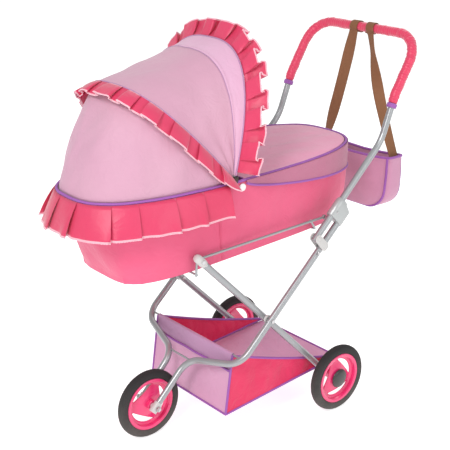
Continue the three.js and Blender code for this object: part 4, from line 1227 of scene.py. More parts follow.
def close_ends(piece: Piece, shape: tuple) -> None:
    """Closes the first and last ring of a swept surface.

    Args:
        piece: the piece, made by surface() with wrap.
        shape: the shape of its grid.
    """
    work = bmesh.new()
    work.from_mesh(piece.data)
    work.verts.ensure_lookup_table()
    rows, cols = shape[:2]
    work.faces.new([work.verts[k] for k in range(cols)])
    work.faces.new([work.verts[(rows - 1) * cols + k] for k in reversed(range(cols))])
    bmesh.ops.recalc_face_normals(work, faces=work.faces)
    work.to_mesh(piece.data)
    work.free()
    smooth(piece, 60)


# ---- the carrycot ---------------------------------------------------------------------------------------


@dataclass
class Carrycot:
    """The cloth shell on its rails, with its piping, frill, foot cover and clips.

    Attributes:
        steps: points round the shell.
        cover_front: where the foot cover starts.
        skirt: how deep the foot cover's skirt hangs at the foot.
        frill_drop: how deep the frill hangs.
    """

    steps: int = 300
    cover_front: float = -233.0
    skirt: float = 52.0
    frill_drop: float = 56.0

    def build(self) -> None:
        """Builds the carrycot."""
        self.shell()
        self.floor()
        self.binding()
        self.frill()
        self.foot_cover()
        self.rails()
        self.fittings()

    def shell_grid(self, inset: float) -> Grid:
        """Gives the shell's wall from the rim down and under to the floor's middle.

        Args:
            inset: how far inside the outer face.

        Returns:
            The grid.
        """
        angles = np.linspace(0, 2 * math.pi, self.steps, endpoint=False)
        stops = np.array([0, 0.42, 0.77, 0.93, 1.0])
        ends, sides = np.array([0, 0.13, 0.37, 0.72, 1.0]), np.array([0, 0.36, 0.72, 0.9, 1.0])
        heads = np.array([0, 0.42, 0.78, 0.95, 1.0])
        downs = np.concatenate([np.linspace(0, 0.77, 22), np.linspace(0.77, 1, 14)[1:]])
        rows = []
        for down in downs:
            e, s, h = (np.interp(down, stops, values) for values in (ends, sides, heads))
            middle = mix(RIM.y, FLOOR.y, e)
            head = middle - mix(RIM.y - RIM.head, FLOOR.y - FLOOR.head, h)
            shape = Oval(middle, head, mix(RIM.foot, FLOOR.foot, e),
                         mix(RIM.half_width, FLOOR.half_width, s), mix(RIM.head_power, FLOOR.head_power, down),
                         mix(RIM.foot_power, FLOOR.foot_power, down), 0, 0)
            ring = shape.points(angles, inset)
            ring[:, 2] = mix(RIM.height(ring[:, 1]), FLOOR.height(ring[:, 1]), down) + inset * down
            rows.append(ring)
        wall = np.array(rows)
        middle = np.array([0, FLOOR.y, float(FLOOR.height(np.array(FLOOR.y))) + inset])
        bottom = [wall[-1] * (1 - share) + middle * share for share in (0.06, 0.3, 0.65, 0.995)]
        return np.concatenate([wall, np.array(bottom)])

    def shell(self) -> None:
        """Makes the shell as outer and inner cloth joined at the rim, with its creases and low seams."""
        outer, inner = self.shell_grid(0), self.shell_grid(1.8)[::-1]
        rows = outer.shape[0]
        hang = np.sin(math.pi * np.clip(np.arange(rows) / 34.0, 0, 1))
        folds = ripple(outer, 46, 1.0, (1, 1, 3.2)) * 3.4 + ripple(outer, 17, 2.0, (1, 1, 2.6)) * 0.8
        drag = ripple(outer, 70, 5.0, (1, 2.6, 0.6)) * 2.4
        angles = np.linspace(0, 2 * math.pi, self.steps, endpoint=False)
        seams = sum(np.exp(-(((angles - a + math.pi) % (2 * math.pi) - math.pi) / 0.035) ** 2)
                    for a in (-2.25, -1.9, -1.24, -0.9))
        low = np.exp(-((np.arange(rows) - 33.0) / 3.0) ** 2)
        away = outer - np.array([0, -190, 0])
        away[..., 2] = 0
        away /= np.linalg.norm(away, axis=2)[..., None] + 1e-6
        push = hang[:, None] * np.minimum(folds + drag, 1.5) + 2.4 * low[:, None] * seams[None, :]
        outer = outer + away * push[..., None]
        points = np.concatenate([outer[::-1], inner[::-1]])
        shell = surface("carrycot_cloth", points, Finish.SHELL, wrap=True)
        close_ends(shell, points.shape)
        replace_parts(shell, "carrycot_shell")
        seam_lines = [self.seam_line(outer, side) for side in (1, -1)]
        seams_piece = [TUBES.make(f"shell_seam_{k}", resample(line, 60), 0.55, Finish.SHELL, 8)
            for k, line in enumerate(seam_lines)]
        stitching = STITCHES.make("shell_seam_stitches", [line + np.array([0, 3.2, 0]) for line in seam_lines], 3.4,
            2.2, 0.7, Finish.SHELL)
        ride_all("carrycot", [shell, *seams_piece, stitching])

    @staticmethod
    def seam_line(grid: Grid, side: int) -> Grid:
        """Follows a seam down one side of the shell, leaning back as it goes.

        Args:
            grid: the outer cloth, its rows from the rim down.
            side: 1 or -1 for the side.

        Returns:
            The line, half a millimetre outside the cloth.
        """
        line = []
        for k, row in enumerate(grid[:34]):
            near = row[(row[:, 0] * side > 0) & (np.abs(row[:, 1] + 270) < 80)]
            near = near[np.argsort(near[:, 1])]
            y = -292 + 30 * k / 33
            line.append([np.interp(y, near[:, 1], near[:, i]) for i in range(3)])
        return np.array(line) + np.array([side * 0.5, 0, 0])

    def floor(self) -> None:
        """Makes the padded cloth cover of the floor board."""
        rings = []
        angles = np.linspace(0, 2 * math.pi, 120, endpoint=False)
        for inset, lift in ((60, 2.3), (10, 2.3), (8.6, 3.0), (8.4, 4.0), (9.4, 5.6), (12, 6.6), (40, 7.2),
                (80, 7.4)):
            rings.append(FLOOR.points(angles, inset, lift))
        points = np.array(rings)
        pad = surface("floor_board_cover", points, Finish.SHELL_INNER, wrap=True)
        close_ends(pad, points.shape)
        puff(pad, 0.006, 2.5)
        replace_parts(pad, "base_board")
        ride_all("carrycot", [pad])

    def binding(self) -> None:
        """Makes the purple piping round the rim and its line of stitches."""
        full = rim_line(0, 2 * math.pi, 1, 2.9, 420)[:-1]
        full[:, 2] += ripple(full, 40, 3.0) * 0.8
        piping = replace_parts(TUBES.make("rim_piping_cord", full, 2.6, Finish.BINDING, 14, loop=True), "rim_piping")
        stitches = STITCHES.make("rim_piping_stitches", [rim_line(0, 2 * math.pi, -0.6, 0.2, 420)], 3.6, 2.3, 0.8,
            Finish.BINDING)
        wire = TUBES.make("rim_hoop_wire", rim_line(0, 2 * math.pi, 4.8, -3, 300)[:-1], 1.6, Finish.STEEL, 10,
            loop=True)
        ride_all("carrycot", [piping, stitches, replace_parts(wire, "rim_wire")])

    def frill(self) -> None:
        """Makes the pleated frill round the head end."""
        edge = RIM.angle_at(-272, -2.5)
        seam = rim_line(-math.pi - edge, edge, -2.6, 1.5, 700)
        out = level_out(seam)
        down = np.tile([0.0, 0.0, -1.0], (len(seam), 1))
        head = np.clip((-seam[:, 1] - 300) / 180.0, 0, 1)[:, None]
        down = down + out * 0.26 * head
        points = frill(seam, down, out, Pleat.KNIFE, 56, self.frill_drop, 11.0, 9.0, 4)
        pieces = frill_piece("rim_frill", points, self.frill_drop)
        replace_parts(pieces[0], "rim_ruffle")
        ride_all("carrycot", pieces)

    def foot_cover(self) -> None:
        """Makes the crowned panel over the foot end, its skirt and their bindings."""
        inset = 4.6
        start = RIM.angle_at(self.cover_front, inset)
        edge = rim_line(start, math.pi - start, inset, 0, 161)
        front = np.stack([np.linspace(edge[0, 0], edge[-1, 0], 161), np.full(161, self.cover_front),
                          np.full(161, RIM.height(np.array(self.cover_front)))], axis=1)
        share = np.linspace(0, 1, 70)[:, None, None]
        points = front[None] * (1 - share) + edge[None] * share
        across = np.linspace(0, 1, 161)[None, :]
        middle = np.sin(math.pi * across) * np.sin(math.pi * np.clip(share[..., 0], 0, 1) ** 0.9) ** 0.8
        points[..., 2] += 3.4 + 9.0 * middle * (1 - 0.3 * share[..., 0])
        tension = ripple(points, 60, 8.0, (0.6, 2.2, 1)) * 3.4 + ripple(points, 24, 9.0, (0.7, 2.0, 1)) * 1.1
        sag = 1.2 * (1 - share[..., 0]) * np.sin(3 * math.pi * across) ** 2
        points[..., 2] += tension * np.minimum(1, middle * 3) - sag
        top = surface("foot_cover_panel", points, Finish.COVER, thickness=0.9)
        as_cloth(top)
        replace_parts(top, "foot_cover")
        hem_line = points[0] + np.array([0, -0.6, 0.2])
        hem = TUBES.make("foot_cover_hem", hem_line, 2.0, Finish.BINDING, 12)
        stitches = STITCHES.make("foot_cover_stitches", [points[3] + np.array([0, 0, 0.8])], 3.4, 2.3, 0.7,
            Finish.THREAD)

        begin = RIM.angle_at(self.cover_front + 2, -2.2)
        seam = rim_line(begin, math.pi - begin, -2.4, 2.2, 420)
        out = level_out(seam)
        along = np.linspace(0, 1, len(seam))
        depth = 5 + (self.skirt - 5) * np.sin(math.pi * along) ** 0.7
        rows = []
        for v in np.linspace(0, 1, 14):
            row = seam + out * (0.3 + 0.9 * v)
            row[:, 2] -= v * depth
            rows.append(row)
        skirt = np.array(rows)
        wave = ripple(skirt, 30, 12.0, (1, 1, 4)) * 1.6
        level = np.linspace(0, 1, 14)[:, None]
        skirt = skirt + out[None] * np.clip(wave * level - 0.4 * level, -0.7, 0.5)[..., None]
        cloth = surface("foot_skirt_panel", skirt, Finish.SKIRT, thickness=0.7)
        as_cloth(cloth)
        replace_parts(cloth, "foot_skirt")
        lower = TUBES.make("foot_skirt_hem", skirt[-1], 2.3, Finish.BINDING, 12)
        tube_row = skirt[-2] * 0.45 + skirt[-1] * 0.55 + out * 0.6
        more = STITCHES.make("foot_skirt_stitches", [tube_row[6:-6]], 3.4, 2.3, 0.7, Finish.BINDING)
        ride_all("carrycot", [top, hem, stitches, cloth, lower, more])

    def rails(self) -> None:
        """Makes the side rails and the two wires that hold up the floor."""
        pieces = []
        for side, name in SIDES:
            front, rear = np.array([side * 117.2, -329.9, 329.9]), np.array([side * 133.1, -26.4, 346.8])
            along = (rear - front) / np.linalg.norm(rear - front)
            rod = TUBES.make(f"{name}_rail_rod", resample(np.array([front + along * 3, rear - along * 2]), 24), 2.5,
                Finish.TUBE, 16)
            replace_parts(rod, f"{name}_side_rail")
            eye = [(2.5, -2.3), (5.2, -2.3), (5.5, -1.9), (5.5, 1.9), (5.2, 2.3), (2.5, 2.3), (2.5, -2.3)]
            ends = [lathe(f"{name}_rail_eye", eye, tuple(front), (1, 0, 0), Finish.TUBE, 28)]
            disc = [(0, -2.3), (4.3, -2.3), (4.6, -1.9), (4.6, 1.9), (4.3, 2.3), (0, 2.3)]
            ends.append(lathe(f"{name}_rail_tip", disc, tuple(rear), (1, 0, 0), Finish.TUBE, 24))
            tab = np.array([[side * 117.2, -329.9 - 0.06 * d, 329.9 - d] for d in np.linspace(4, 32, 12)])
            ends.append(TUBES.make(f"{name}_rail_tab", tab, 2.2, Finish.TUBE, 14))
            pieces += [rod, *ends]
        low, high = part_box("front_support_wire")
        middle = ((low + high) / 2 - AXLE) / MM
        line = np.array([[low.x / MM, middle.y, middle.z], [high.x / MM, middle.y, middle.z]])
        wire = TUBES.make("front_floor_wire", resample(line, 12), 2.0, Finish.TUBE, 14)
        pieces.append(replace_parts(wire, "front_support_wire"))
        height = float(FLOOR.height(np.array(-24.0))) - 2.3
        inside, under = (127.2, -58.0, 345.0), (109.0, -24.0, height)
        line = bent([inside, under, (-under[0], *under[1:]), (-inside[0], *inside[1:])], [12, 12], 8)
        pieces.append(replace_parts(TUBES.make("rear_floor_wire", line, 2.0, Finish.TUBE, 14), "rear_support_wire"))
        ride_all("carrycot", pieces)

    def fittings(self) -> None:
        """Makes the hood's clips and the press studs."""
        pieces = []
        for side, name in SIDES:
            pieces.append(refined(f"{name}_hood_clip", Finish.BRONZE, 0.5))
            low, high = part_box(f"{name}_snap_stud")
            middle = ((low + high) / 2 - AXLE) / MM
            profile = [(0, 2.3), (2.5, 2.2), (4.6, 1.6), (5.6, 1.9), (6.6, 1.5), (7, 0.6), (7, -1.2), (0, -1.2)]
            stud = lathe(f"{name}_press_stud", profile, tuple(middle), (side, 0, 0), Finish.WHITE, 32)
            pieces.append(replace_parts(stud, f"{name}_snap_stud"))
        ride_all("carrycot", pieces)


def puff(piece: Piece, cap: float, pressure: float) -> None:
    """Swells a closed piece with the cloth solver and leaves a plain mesh.

    Args:
        piece: the piece, closed and facing out.
        cap: how far a point may move, in metres.
        pressure: the pressure inside it.
    """
    remesh = piece.modifiers.new("remesh", "REMESH")
    remesh.mode = "VOXEL"
    remesh.voxel_size = 0.0032
    scene = bpy.context.scene
    even = bpy.data.meshes.new_from_object(piece.evaluated_get(bpy.context.evaluated_depsgraph_get()))
    piece.modifiers.clear()
    keep = list(piece.data.materials)
    piece.data = even
    even.materials.clear()
    for material in keep:
        even.materials.append(material)
    rest = np.array([v.co for v in even.vertices])
    cloth = piece.modifiers.new("cloth", "CLOTH")
    cloth.settings.use_pressure = True
    cloth.settings.uniform_pressure_force = pressure
    cloth.settings.effector_weights.gravity = 0
    cloth.point_cache.frame_end = 14
    for step in range(1, 15):
        scene.frame_set(step)
    swollen = piece.evaluated_get(bpy.context.evaluated_depsgraph_get()).to_mesh()
    moved = np.array([v.co for v in swollen.vertices])
    piece.evaluated_get(bpy.context.evaluated_depsgraph_get()).to_mesh_clear()
    piece.modifiers.clear()
    scene.frame_set(1)
    shift = moved - rest
    length = np.linalg.norm(shift, axis=1)[:, None]
    shift *= np.minimum(1, cap / np.maximum(length, 1e-9))
    shift[:, 2] = np.maximum(shift[:, 2], -0.0002)
    shift[:, :2] *= 0.2
    even.vertices.foreach_set("co", (rest + shift).astype(np.float32).ravel())
    even.update()
    uv = even.uv_layers.new(name="cloth")
    corners = np.array([even.loops[i].vertex_index for i in range(len(even.loops))])
    uv.data.foreach_set("uv", (rest + shift)[corners, :2].astype(np.float32).ravel())
    smooth(piece, 80)


# ---- the hood -------------------------------------------------------------------------------------------


@dataclass
class Hood:
    """Two wire hoops with one curved sheet over them, a head panel and pleated frills.

    Attributes:
        radius: from the pivot to the top of the cloth.
        power: how square the hoops are.
        front: the front hoop's angle up from straight ahead, in degrees.
        rear: the rear hoop's angle.
        front_x: the front hoop's half width.
        rear_x: the rear hoop's half width.
        over: from a hoop's wire to the cloth over it.
        seam_share: where the front band's seam lies between the hoops.
    """

    radius: float = 232.0
    power: float = 2.8
    front: float = 103.0
    rear: float = 46.4
    front_x: float = 133.0
    rear_x: float = 128.0
    over: float = 2.7
    seam_share: float = 0.775

    def arch(self, angle: float, half_width: float, radius: float, shares: Grid) -> Grid:
        """Gives points over a hoop.

        Args:
            angle: the hoop's angle in degrees.
            half_width: its half width.
            radius: its height from the pivot.
            shares: 0 at the left foot, 1 at the right foot.

        Returns:
            The points.
        """
        dense = np.linspace(0.0, math.pi, 3001)
        lean = math.radians(angle)
        x = half_width * np.sign(np.cos(dense)) * np.abs(np.cos(dense)) ** (2 / self.power)
        up = radius * np.sin(dense) ** (2 / self.power)
        lengths = np.concatenate([[0], np.cumsum(np.hypot(np.diff(x), np.diff(up)))])
        wanted = np.clip(shares, 0, 1) * lengths[-1]
        x, up = np.interp(wanted, lengths, x), np.interp(wanted, lengths, up)
        return np.stack([x, HOOD_PIVOT[0] - up * math.cos(lean), HOOD_PIVOT[1] + up * math.sin(lean)], axis=-1)

    def rear_arch(self, shares: Grid, out: float = 0.0, turn: float = 0.0) -> Grid:
        """Gives the cloth's line over the rear hoop."""
        return self.arch(self.rear + turn, self.rear_x + self.over + out, self.radius + out, shares)

    def front_arch(self, shares: Grid, out: float = 0.0, turn: float = 0.0) -> Grid:
        """Gives the cloth's line over the front hoop."""
        return self.arch(self.front + turn, self.front_x + self.over + out, self.radius + out, shares)

    def build(self) -> None:
        """Builds the hood."""
        self.hoops()
        self.canopy()
        self.head_panel()
        self.frills()

    def hoops(self) -> None:
        """Makes the two wires with their eyes."""
        for name, body, angle, x in (("rear", "hood_rear", self.rear, self.rear_x),
                ("front", "hood_front", self.front, self.front_x)):
            line = self.arch(angle, x, self.radius - 3.5, np.linspace(0.006, 0.994, 160))
            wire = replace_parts(TUBES.make(f"{name}_hoop_wire", line, 1.8, Finish.STEEL, 12), f"{name}_hoop")
            eyes = []
            for side, label in ((1, "left"), (-1, "right")):
                eye = [(2.4, -1.7), (4.0, -1.7), (4.3, -1.3), (4.3, 1.3), (4.0, 1.7), (2.4, 1.7), (2.4, -1.7)]
                eyes.append(lathe(f"{label}_{name}_hoop_eye", eye, (side * x, *HOOD_PIVOT), (1, 0, 0), Finish.STEEL,
                    20))
            ride_all(body, [wire, *eyes])

    def canopy(self) -> None:
        """Makes the cloth between the hoops, its front band, seam and stitches."""
        shares = np.linspace(0.01, 0.99, 170)
        rear, front = self.rear_arch(shares), self.front_arch(shares)
        steps = np.linspace(0, 1, 60)
        points = rear[None] * (1 - steps[:, None, None]) + front[None] * steps[:, None, None]
        pull = ripple(points, 58, 21.0, (2.2, 1, 1)) * 6.0 + ripple(points, 24, 22.0, (1.0, 1.8, 1.8)) * 1.8
        foot = np.exp(-np.minimum(shares, 1 - shares) / 0.13)[None, :]
        rays = np.sin(steps * 19.0)[:, None] * foot * 3.2
        inward = np.array([0, HOOD_PIVOT[0] - 40, HOOD_PIVOT[1]]) - points
        inward[..., 0] = -points[..., 0]
        inward /= np.linalg.norm(inward, axis=2)[..., None]
        between = np.sin(math.pi * steps)[:, None]
        at_seam = np.exp(-(((steps - self.seam_share) / 0.02) ** 2))[:, None]
        sag = between * (3.0 + np.maximum(pull, -2.5) + rays) - 1.4 * at_seam
        points = points + inward * sag[..., None]
        split = int(self.seam_share * 59)
        for name, part, finish in (("canopy_cloth", points[: split + 1], Finish.LILAC),
                ("canopy_band", points[split:], Finish.BAND)):
            sheet = surface(name, part, finish, thickness=0.8)
            as_cloth(sheet)
            if name == "canopy_cloth":
                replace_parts(sheet, "hood_canopy")
            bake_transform(sheet)
            LOG.info("%s blends from hood_rear to hood_front", name)
        seam = TUBES.make("canopy_seam_cord", resample(points[split] - inward[split] * 0.5, 200), 0.7,
            Finish.LIGHT_BINDING, 8)
        stitches = STITCHES.make("canopy_seam_stitches", [points[split + 2] - inward[split + 2] * 0.6], 3.4, 2.3,
            0.6, Finish.THREAD)
        edge = TUBES.make("canopy_front_binding", front - inward[-1] * 0.4, 1.5, Finish.LIGHT_BINDING, 10)
        for piece in (seam, stitches):
            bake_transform(piece)
        ride_all("hood_front", [edge])

    def head_panel(self) -> None:
        """Makes the panel from the rear hoop down to the rim at the head end."""
        shares = np.linspace(0.012, 0.988, 170)
        top = self.rear_arch(shares, -0.5, -1.0)
        side = RIM.angle_at(-266, 4.8)
        low = rim_line(side, -math.pi - side, 4.8, 3.4, 170)
        steps = np.linspace(0, 1, 44)
        points = top[None] * (1 - steps[:, None, None]) + low[None] * steps[:, None, None]
        out = points - np.array([0, HOOD_PIVOT[0] + 30, 0])
        out[..., 2] = 0
        out /= np.linalg.norm(out, axis=2)[..., None]
        middle = np.sin(math.pi * np.linspace(0, 1, 170))[None, :]
        between = np.sin(math.pi * steps)[:, None]
        bulge = 34 * (steps * (1 - steps))[:, None] * middle
        folds = ripple(points, 46, 31.0, (1, 1, 3.0)) * 7.0 + ripple(points, 20, 32.0, (1, 1, 2.4)) * 2.0
        fan = np.sin(np.linspace(0, 1, 170) * 70.0)[None, :] * np.exp(-np.minimum(shares, 1 - shares) / 0.12)[None, :]
        points = points + out * (bulge + (folds + 1.6 * fan) * between * np.minimum(1, middle * 4))[..., None]
        panel = surface("head_panel_cloth", points, Finish.LILAC, thickness=0.8)
        as_cloth(panel)
        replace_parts(panel, "head_panel")
        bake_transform(panel)
        LOG.info("%s blends from hood_rear to carrycot", panel.name)
        self.panel = points

    def frills(self) -> None:
        """Makes the frill round the hood's mouth and the one over the rear hoop."""
        shares = np.linspace(0.02, 0.98, 700)
        seam = self.front_arch(shares, 0.6, 0.5)
        spread = self.front_arch(shares, 12.0, 0.5) - seam
        spread /= np.linalg.norm(spread, axis=1)[:, None]
        lean = math.radians(self.front)
        facing = np.tile([0.0, math.sin(lean), math.cos(lean)], (len(seam), 1))
        down = spread * 0.96 + facing * 0.28
        points = frill(seam, down, facing, Pleat.BOX, 45, 35.0, 4.0, 17.0, 7)
        pieces = frill_piece("mouth_frill", points, 35.0)
        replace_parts(pieces[0], "front_ruffle")
        ride_all("hood_front", pieces)

        seam = self.rear_arch(shares, 1.4, 0.0)
        spread = self.rear_arch(shares, 12.0, 0.0) - seam
        spread /= np.linalg.norm(spread, axis=1)[:, None]
        dense = np.linspace(0, 1, self.panel.shape[1])
        target = np.stack([np.interp(np.linspace(0, 1, 700), dense, self.panel[9, :, i]) for i in range(3)], axis=1)
        down = target - seam
        down -= spread * (down * spread).sum(1)[:, None] * 0.6
        down /= np.linalg.norm(down, axis=1)[:, None]
        points = frill(seam, down, spread, Pleat.BOX, 56, 33.0, 13.0, 12.0, 13)
        pieces = frill_piece("rear_hoop_frill", points, 33.0)
        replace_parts(pieces[0], "rear_ruffle")
        piping = TUBES.make("rear_hoop_binding", self.rear_arch(np.linspace(0.03, 0.97, 260), 1.2), 1.5,
            Finish.LIGHT_BINDING, 10)
        ride_all("hood_rear", [*pieces, piping])


# ---- the bag and the basket -----------------------------------------------------------------------------


@dataclass
class Bag:
    """The open cloth bag on its webbing straps.

    Attributes:
        half_width: its half width.
        half_depth: its half depth.
        height: its height.
        corner: the radius of its lower corners.
        bar_y: where the bar is.
        bar_z: how high the bar is.
        drop: from the bar's centre to the bag's rim.
    """

    half_width: float = 107.0
    half_depth: float = 24.0
    height: float = 115.0
    corner: float = 52.0
    bar_y: float = 212.1
    bar_z: float = 674.4
    drop: float = 256.0

    def half_at(self, up: Grid) -> Grid:
        """Gives the half width at a height above the bottom."""
        short = np.clip(self.corner - up, 0, self.corner)
        return self.half_width - self.corner + np.sqrt(self.corner**2 - short**2)

    @staticmethod
    def edge_line(grid: Grid, side: int) -> Grid:
        """Gives the seam between a panel and the gusset: down one side, along the bottom and up the other.

        Args:
            grid: the bag's outer cloth, its rows from the rim down and its columns once round.
            side: 1 for the rear panel, -1 for the front one.

        Returns:
            The line.
        """
        count = grid.shape[1]
        corner, other = (count // 8, count * 3 // 8) if side > 0 else (-count // 8, -count * 3 // 8)
        away = np.array([0, side * 0.8, 0])
        low = [grid[-1, corner] * (1 - t) + grid[-1, other] * t for t in np.linspace(0, 1, 30)[1:-1]]
        return resample(np.concatenate([grid[:, corner], low, grid[::-1, other]]) + away, 220)

    def build(self) -> None:
        """Builds the bag and its straps."""
        count = 240
        turns = np.linspace(0, 2 * math.pi, count, endpoint=False)
        c, s = np.cos(turns), np.sin(turns)
        rows = []
        for up in np.concatenate([np.linspace(self.height, self.corner, 22),
                self.corner * (1 - np.sin(np.linspace(0.08, math.pi / 2, 20)))]):
            half = float(self.half_at(np.array(up)))
            x = half * np.sign(c) * np.abs(c) ** (2 / 9)
            y = self.half_depth * np.sign(s) * np.abs(s) ** (2 / 5)
            level = up / self.height
            inner = np.clip(1 - (x / half) ** 2, 0, 1)
            belly = 5.5 * math.sin(math.pi * min(1, level + 0.12)) * inner * np.sign(s) * (np.abs(s) > 0.4)
            pinch = -5.0 * level**3 * inner * np.sign(s)
            z = self.bar_z - self.drop - self.height + up - 7.0 * level**4 * inner
            rows.append(np.stack([x, self.bar_y + y + belly + pinch, np.broadcast_to(z, x.shape)], axis=-1))
        outer = np.array(rows)
        folds = ripple(outer, 44, 51.0, (1.6, 1, 1)) * 2.6 + ripple(outer, 18, 52.0, (1, 1, 1.8)) * 0.8
        fade = np.sin(math.pi * np.linspace(0.12, 1, len(outer)))[:, None]
        outer[..., 1] += folds * fade
        inner = outer.copy()
        inner[..., 0] *= 0.985
        inner[..., 1] = self.bar_y + (inner[..., 1] - self.bar_y) * 0.94
        inner[..., 2] = np.maximum(inner[..., 2], outer[-1, :, 2].max() + 1.2)
        points = np.concatenate([outer[::-1], inner])
        cloth = surface("bag_cloth", points, Finish.BAG, wrap=True)
        close_ends(cloth, points.shape)
        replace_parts(cloth, "bag")
        rim = outer[0]
        rim_cord = TUBES.make("bag_rim_binding", rim + np.array([0, 0, 0.6]), 2.6, Finish.BINDING, 12, loop=True)
        seams = [TUBES.make(f"bag_{name}_piping", self.edge_line(outer, side), PIPING, Finish.BINDING, 12)
            for side, name in ((1, "rear"), (-1, "front"))]
        hem = STITCHES.make("bag_hem_stitches", [outer[3, 125:235] - [0, 0.6, 0]], 3.4, 2.3, 0.6, Finish.THREAD)
        straps = [self.strap(1, "left"), self.strap(-1, "right")]
        ride_all("carry_bag", [cloth, rim_cord, *seams, hem, *straps])

    def strap(self, side: int, name: str) -> Piece:
        """Makes one strap: a wrap round the grip and a tail that twists on its way to the bag's end."""
        grip, half = 11.4, 11.5
        wrap = np.linspace(-0.25 * math.pi, 1.75 * math.pi, 50)
        loop = np.stack([side * (17 + 6 * np.linspace(0, 1, 50)), self.bar_y + grip * np.sin(wrap),
            self.bar_z - grip * np.cos(wrap)], axis=1)
        end = np.array([side * (self.half_width - 3.5), self.bar_y, self.bar_z - self.drop - 14])
        share = np.linspace(0, 1, 90)[1:, None]
        bow = np.sin(math.pi * share) * np.array([side * -6.0, -3.0, 0.0])
        tail = loop[-1] * (1 - share) + end * share + bow
        line = np.concatenate([loop, tail])
        tangents = np.gradient(line, axis=0)
        tangents /= np.linalg.norm(tangents, axis=1)[:, None]
        stops = ((0, 0), (0.1, -38), (0.55, 62), (1, 88)) if side > 0 else ((0, 0), (0.2, 48), (0.6, 40), (1, -42))
        turns = np.interp(share[:, 0], [at for at, _ in stops], [angle for _, angle in stops])
        turns = np.convolve(np.pad(turns, 8, mode="edge"), np.ones(17) / 17, mode="valid")
        twist = np.radians(np.concatenate([np.zeros(50), turns]))
        wide = np.cos(twist)[:, None] * np.array([1.0, 0, 0]) + np.sin(twist)[:, None] * np.array([0, 1.0, 0])
        wide -= tangents * (wide * tangents).sum(1)[:, None]
        wide /= np.linalg.norm(wide, axis=1)[:, None]
        width = half * np.concatenate([np.full(50, 0.86), 0.86 + 0.14 * np.minimum(1, share[:, 0] * 5)])
        offsets = np.linspace(-1, 1, 9)
        points = line[:, None] + wide[:, None] * (width[:, None] * offsets[None, :])[..., None]
        band = surface(f"{name}_webbing_strap", points, Finish.WEBBING, thickness=1.3)
        length = float(np.linalg.norm(np.diff(line, axis=0), axis=1).sum()) * MM
        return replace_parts(band, f"{name}_strap")


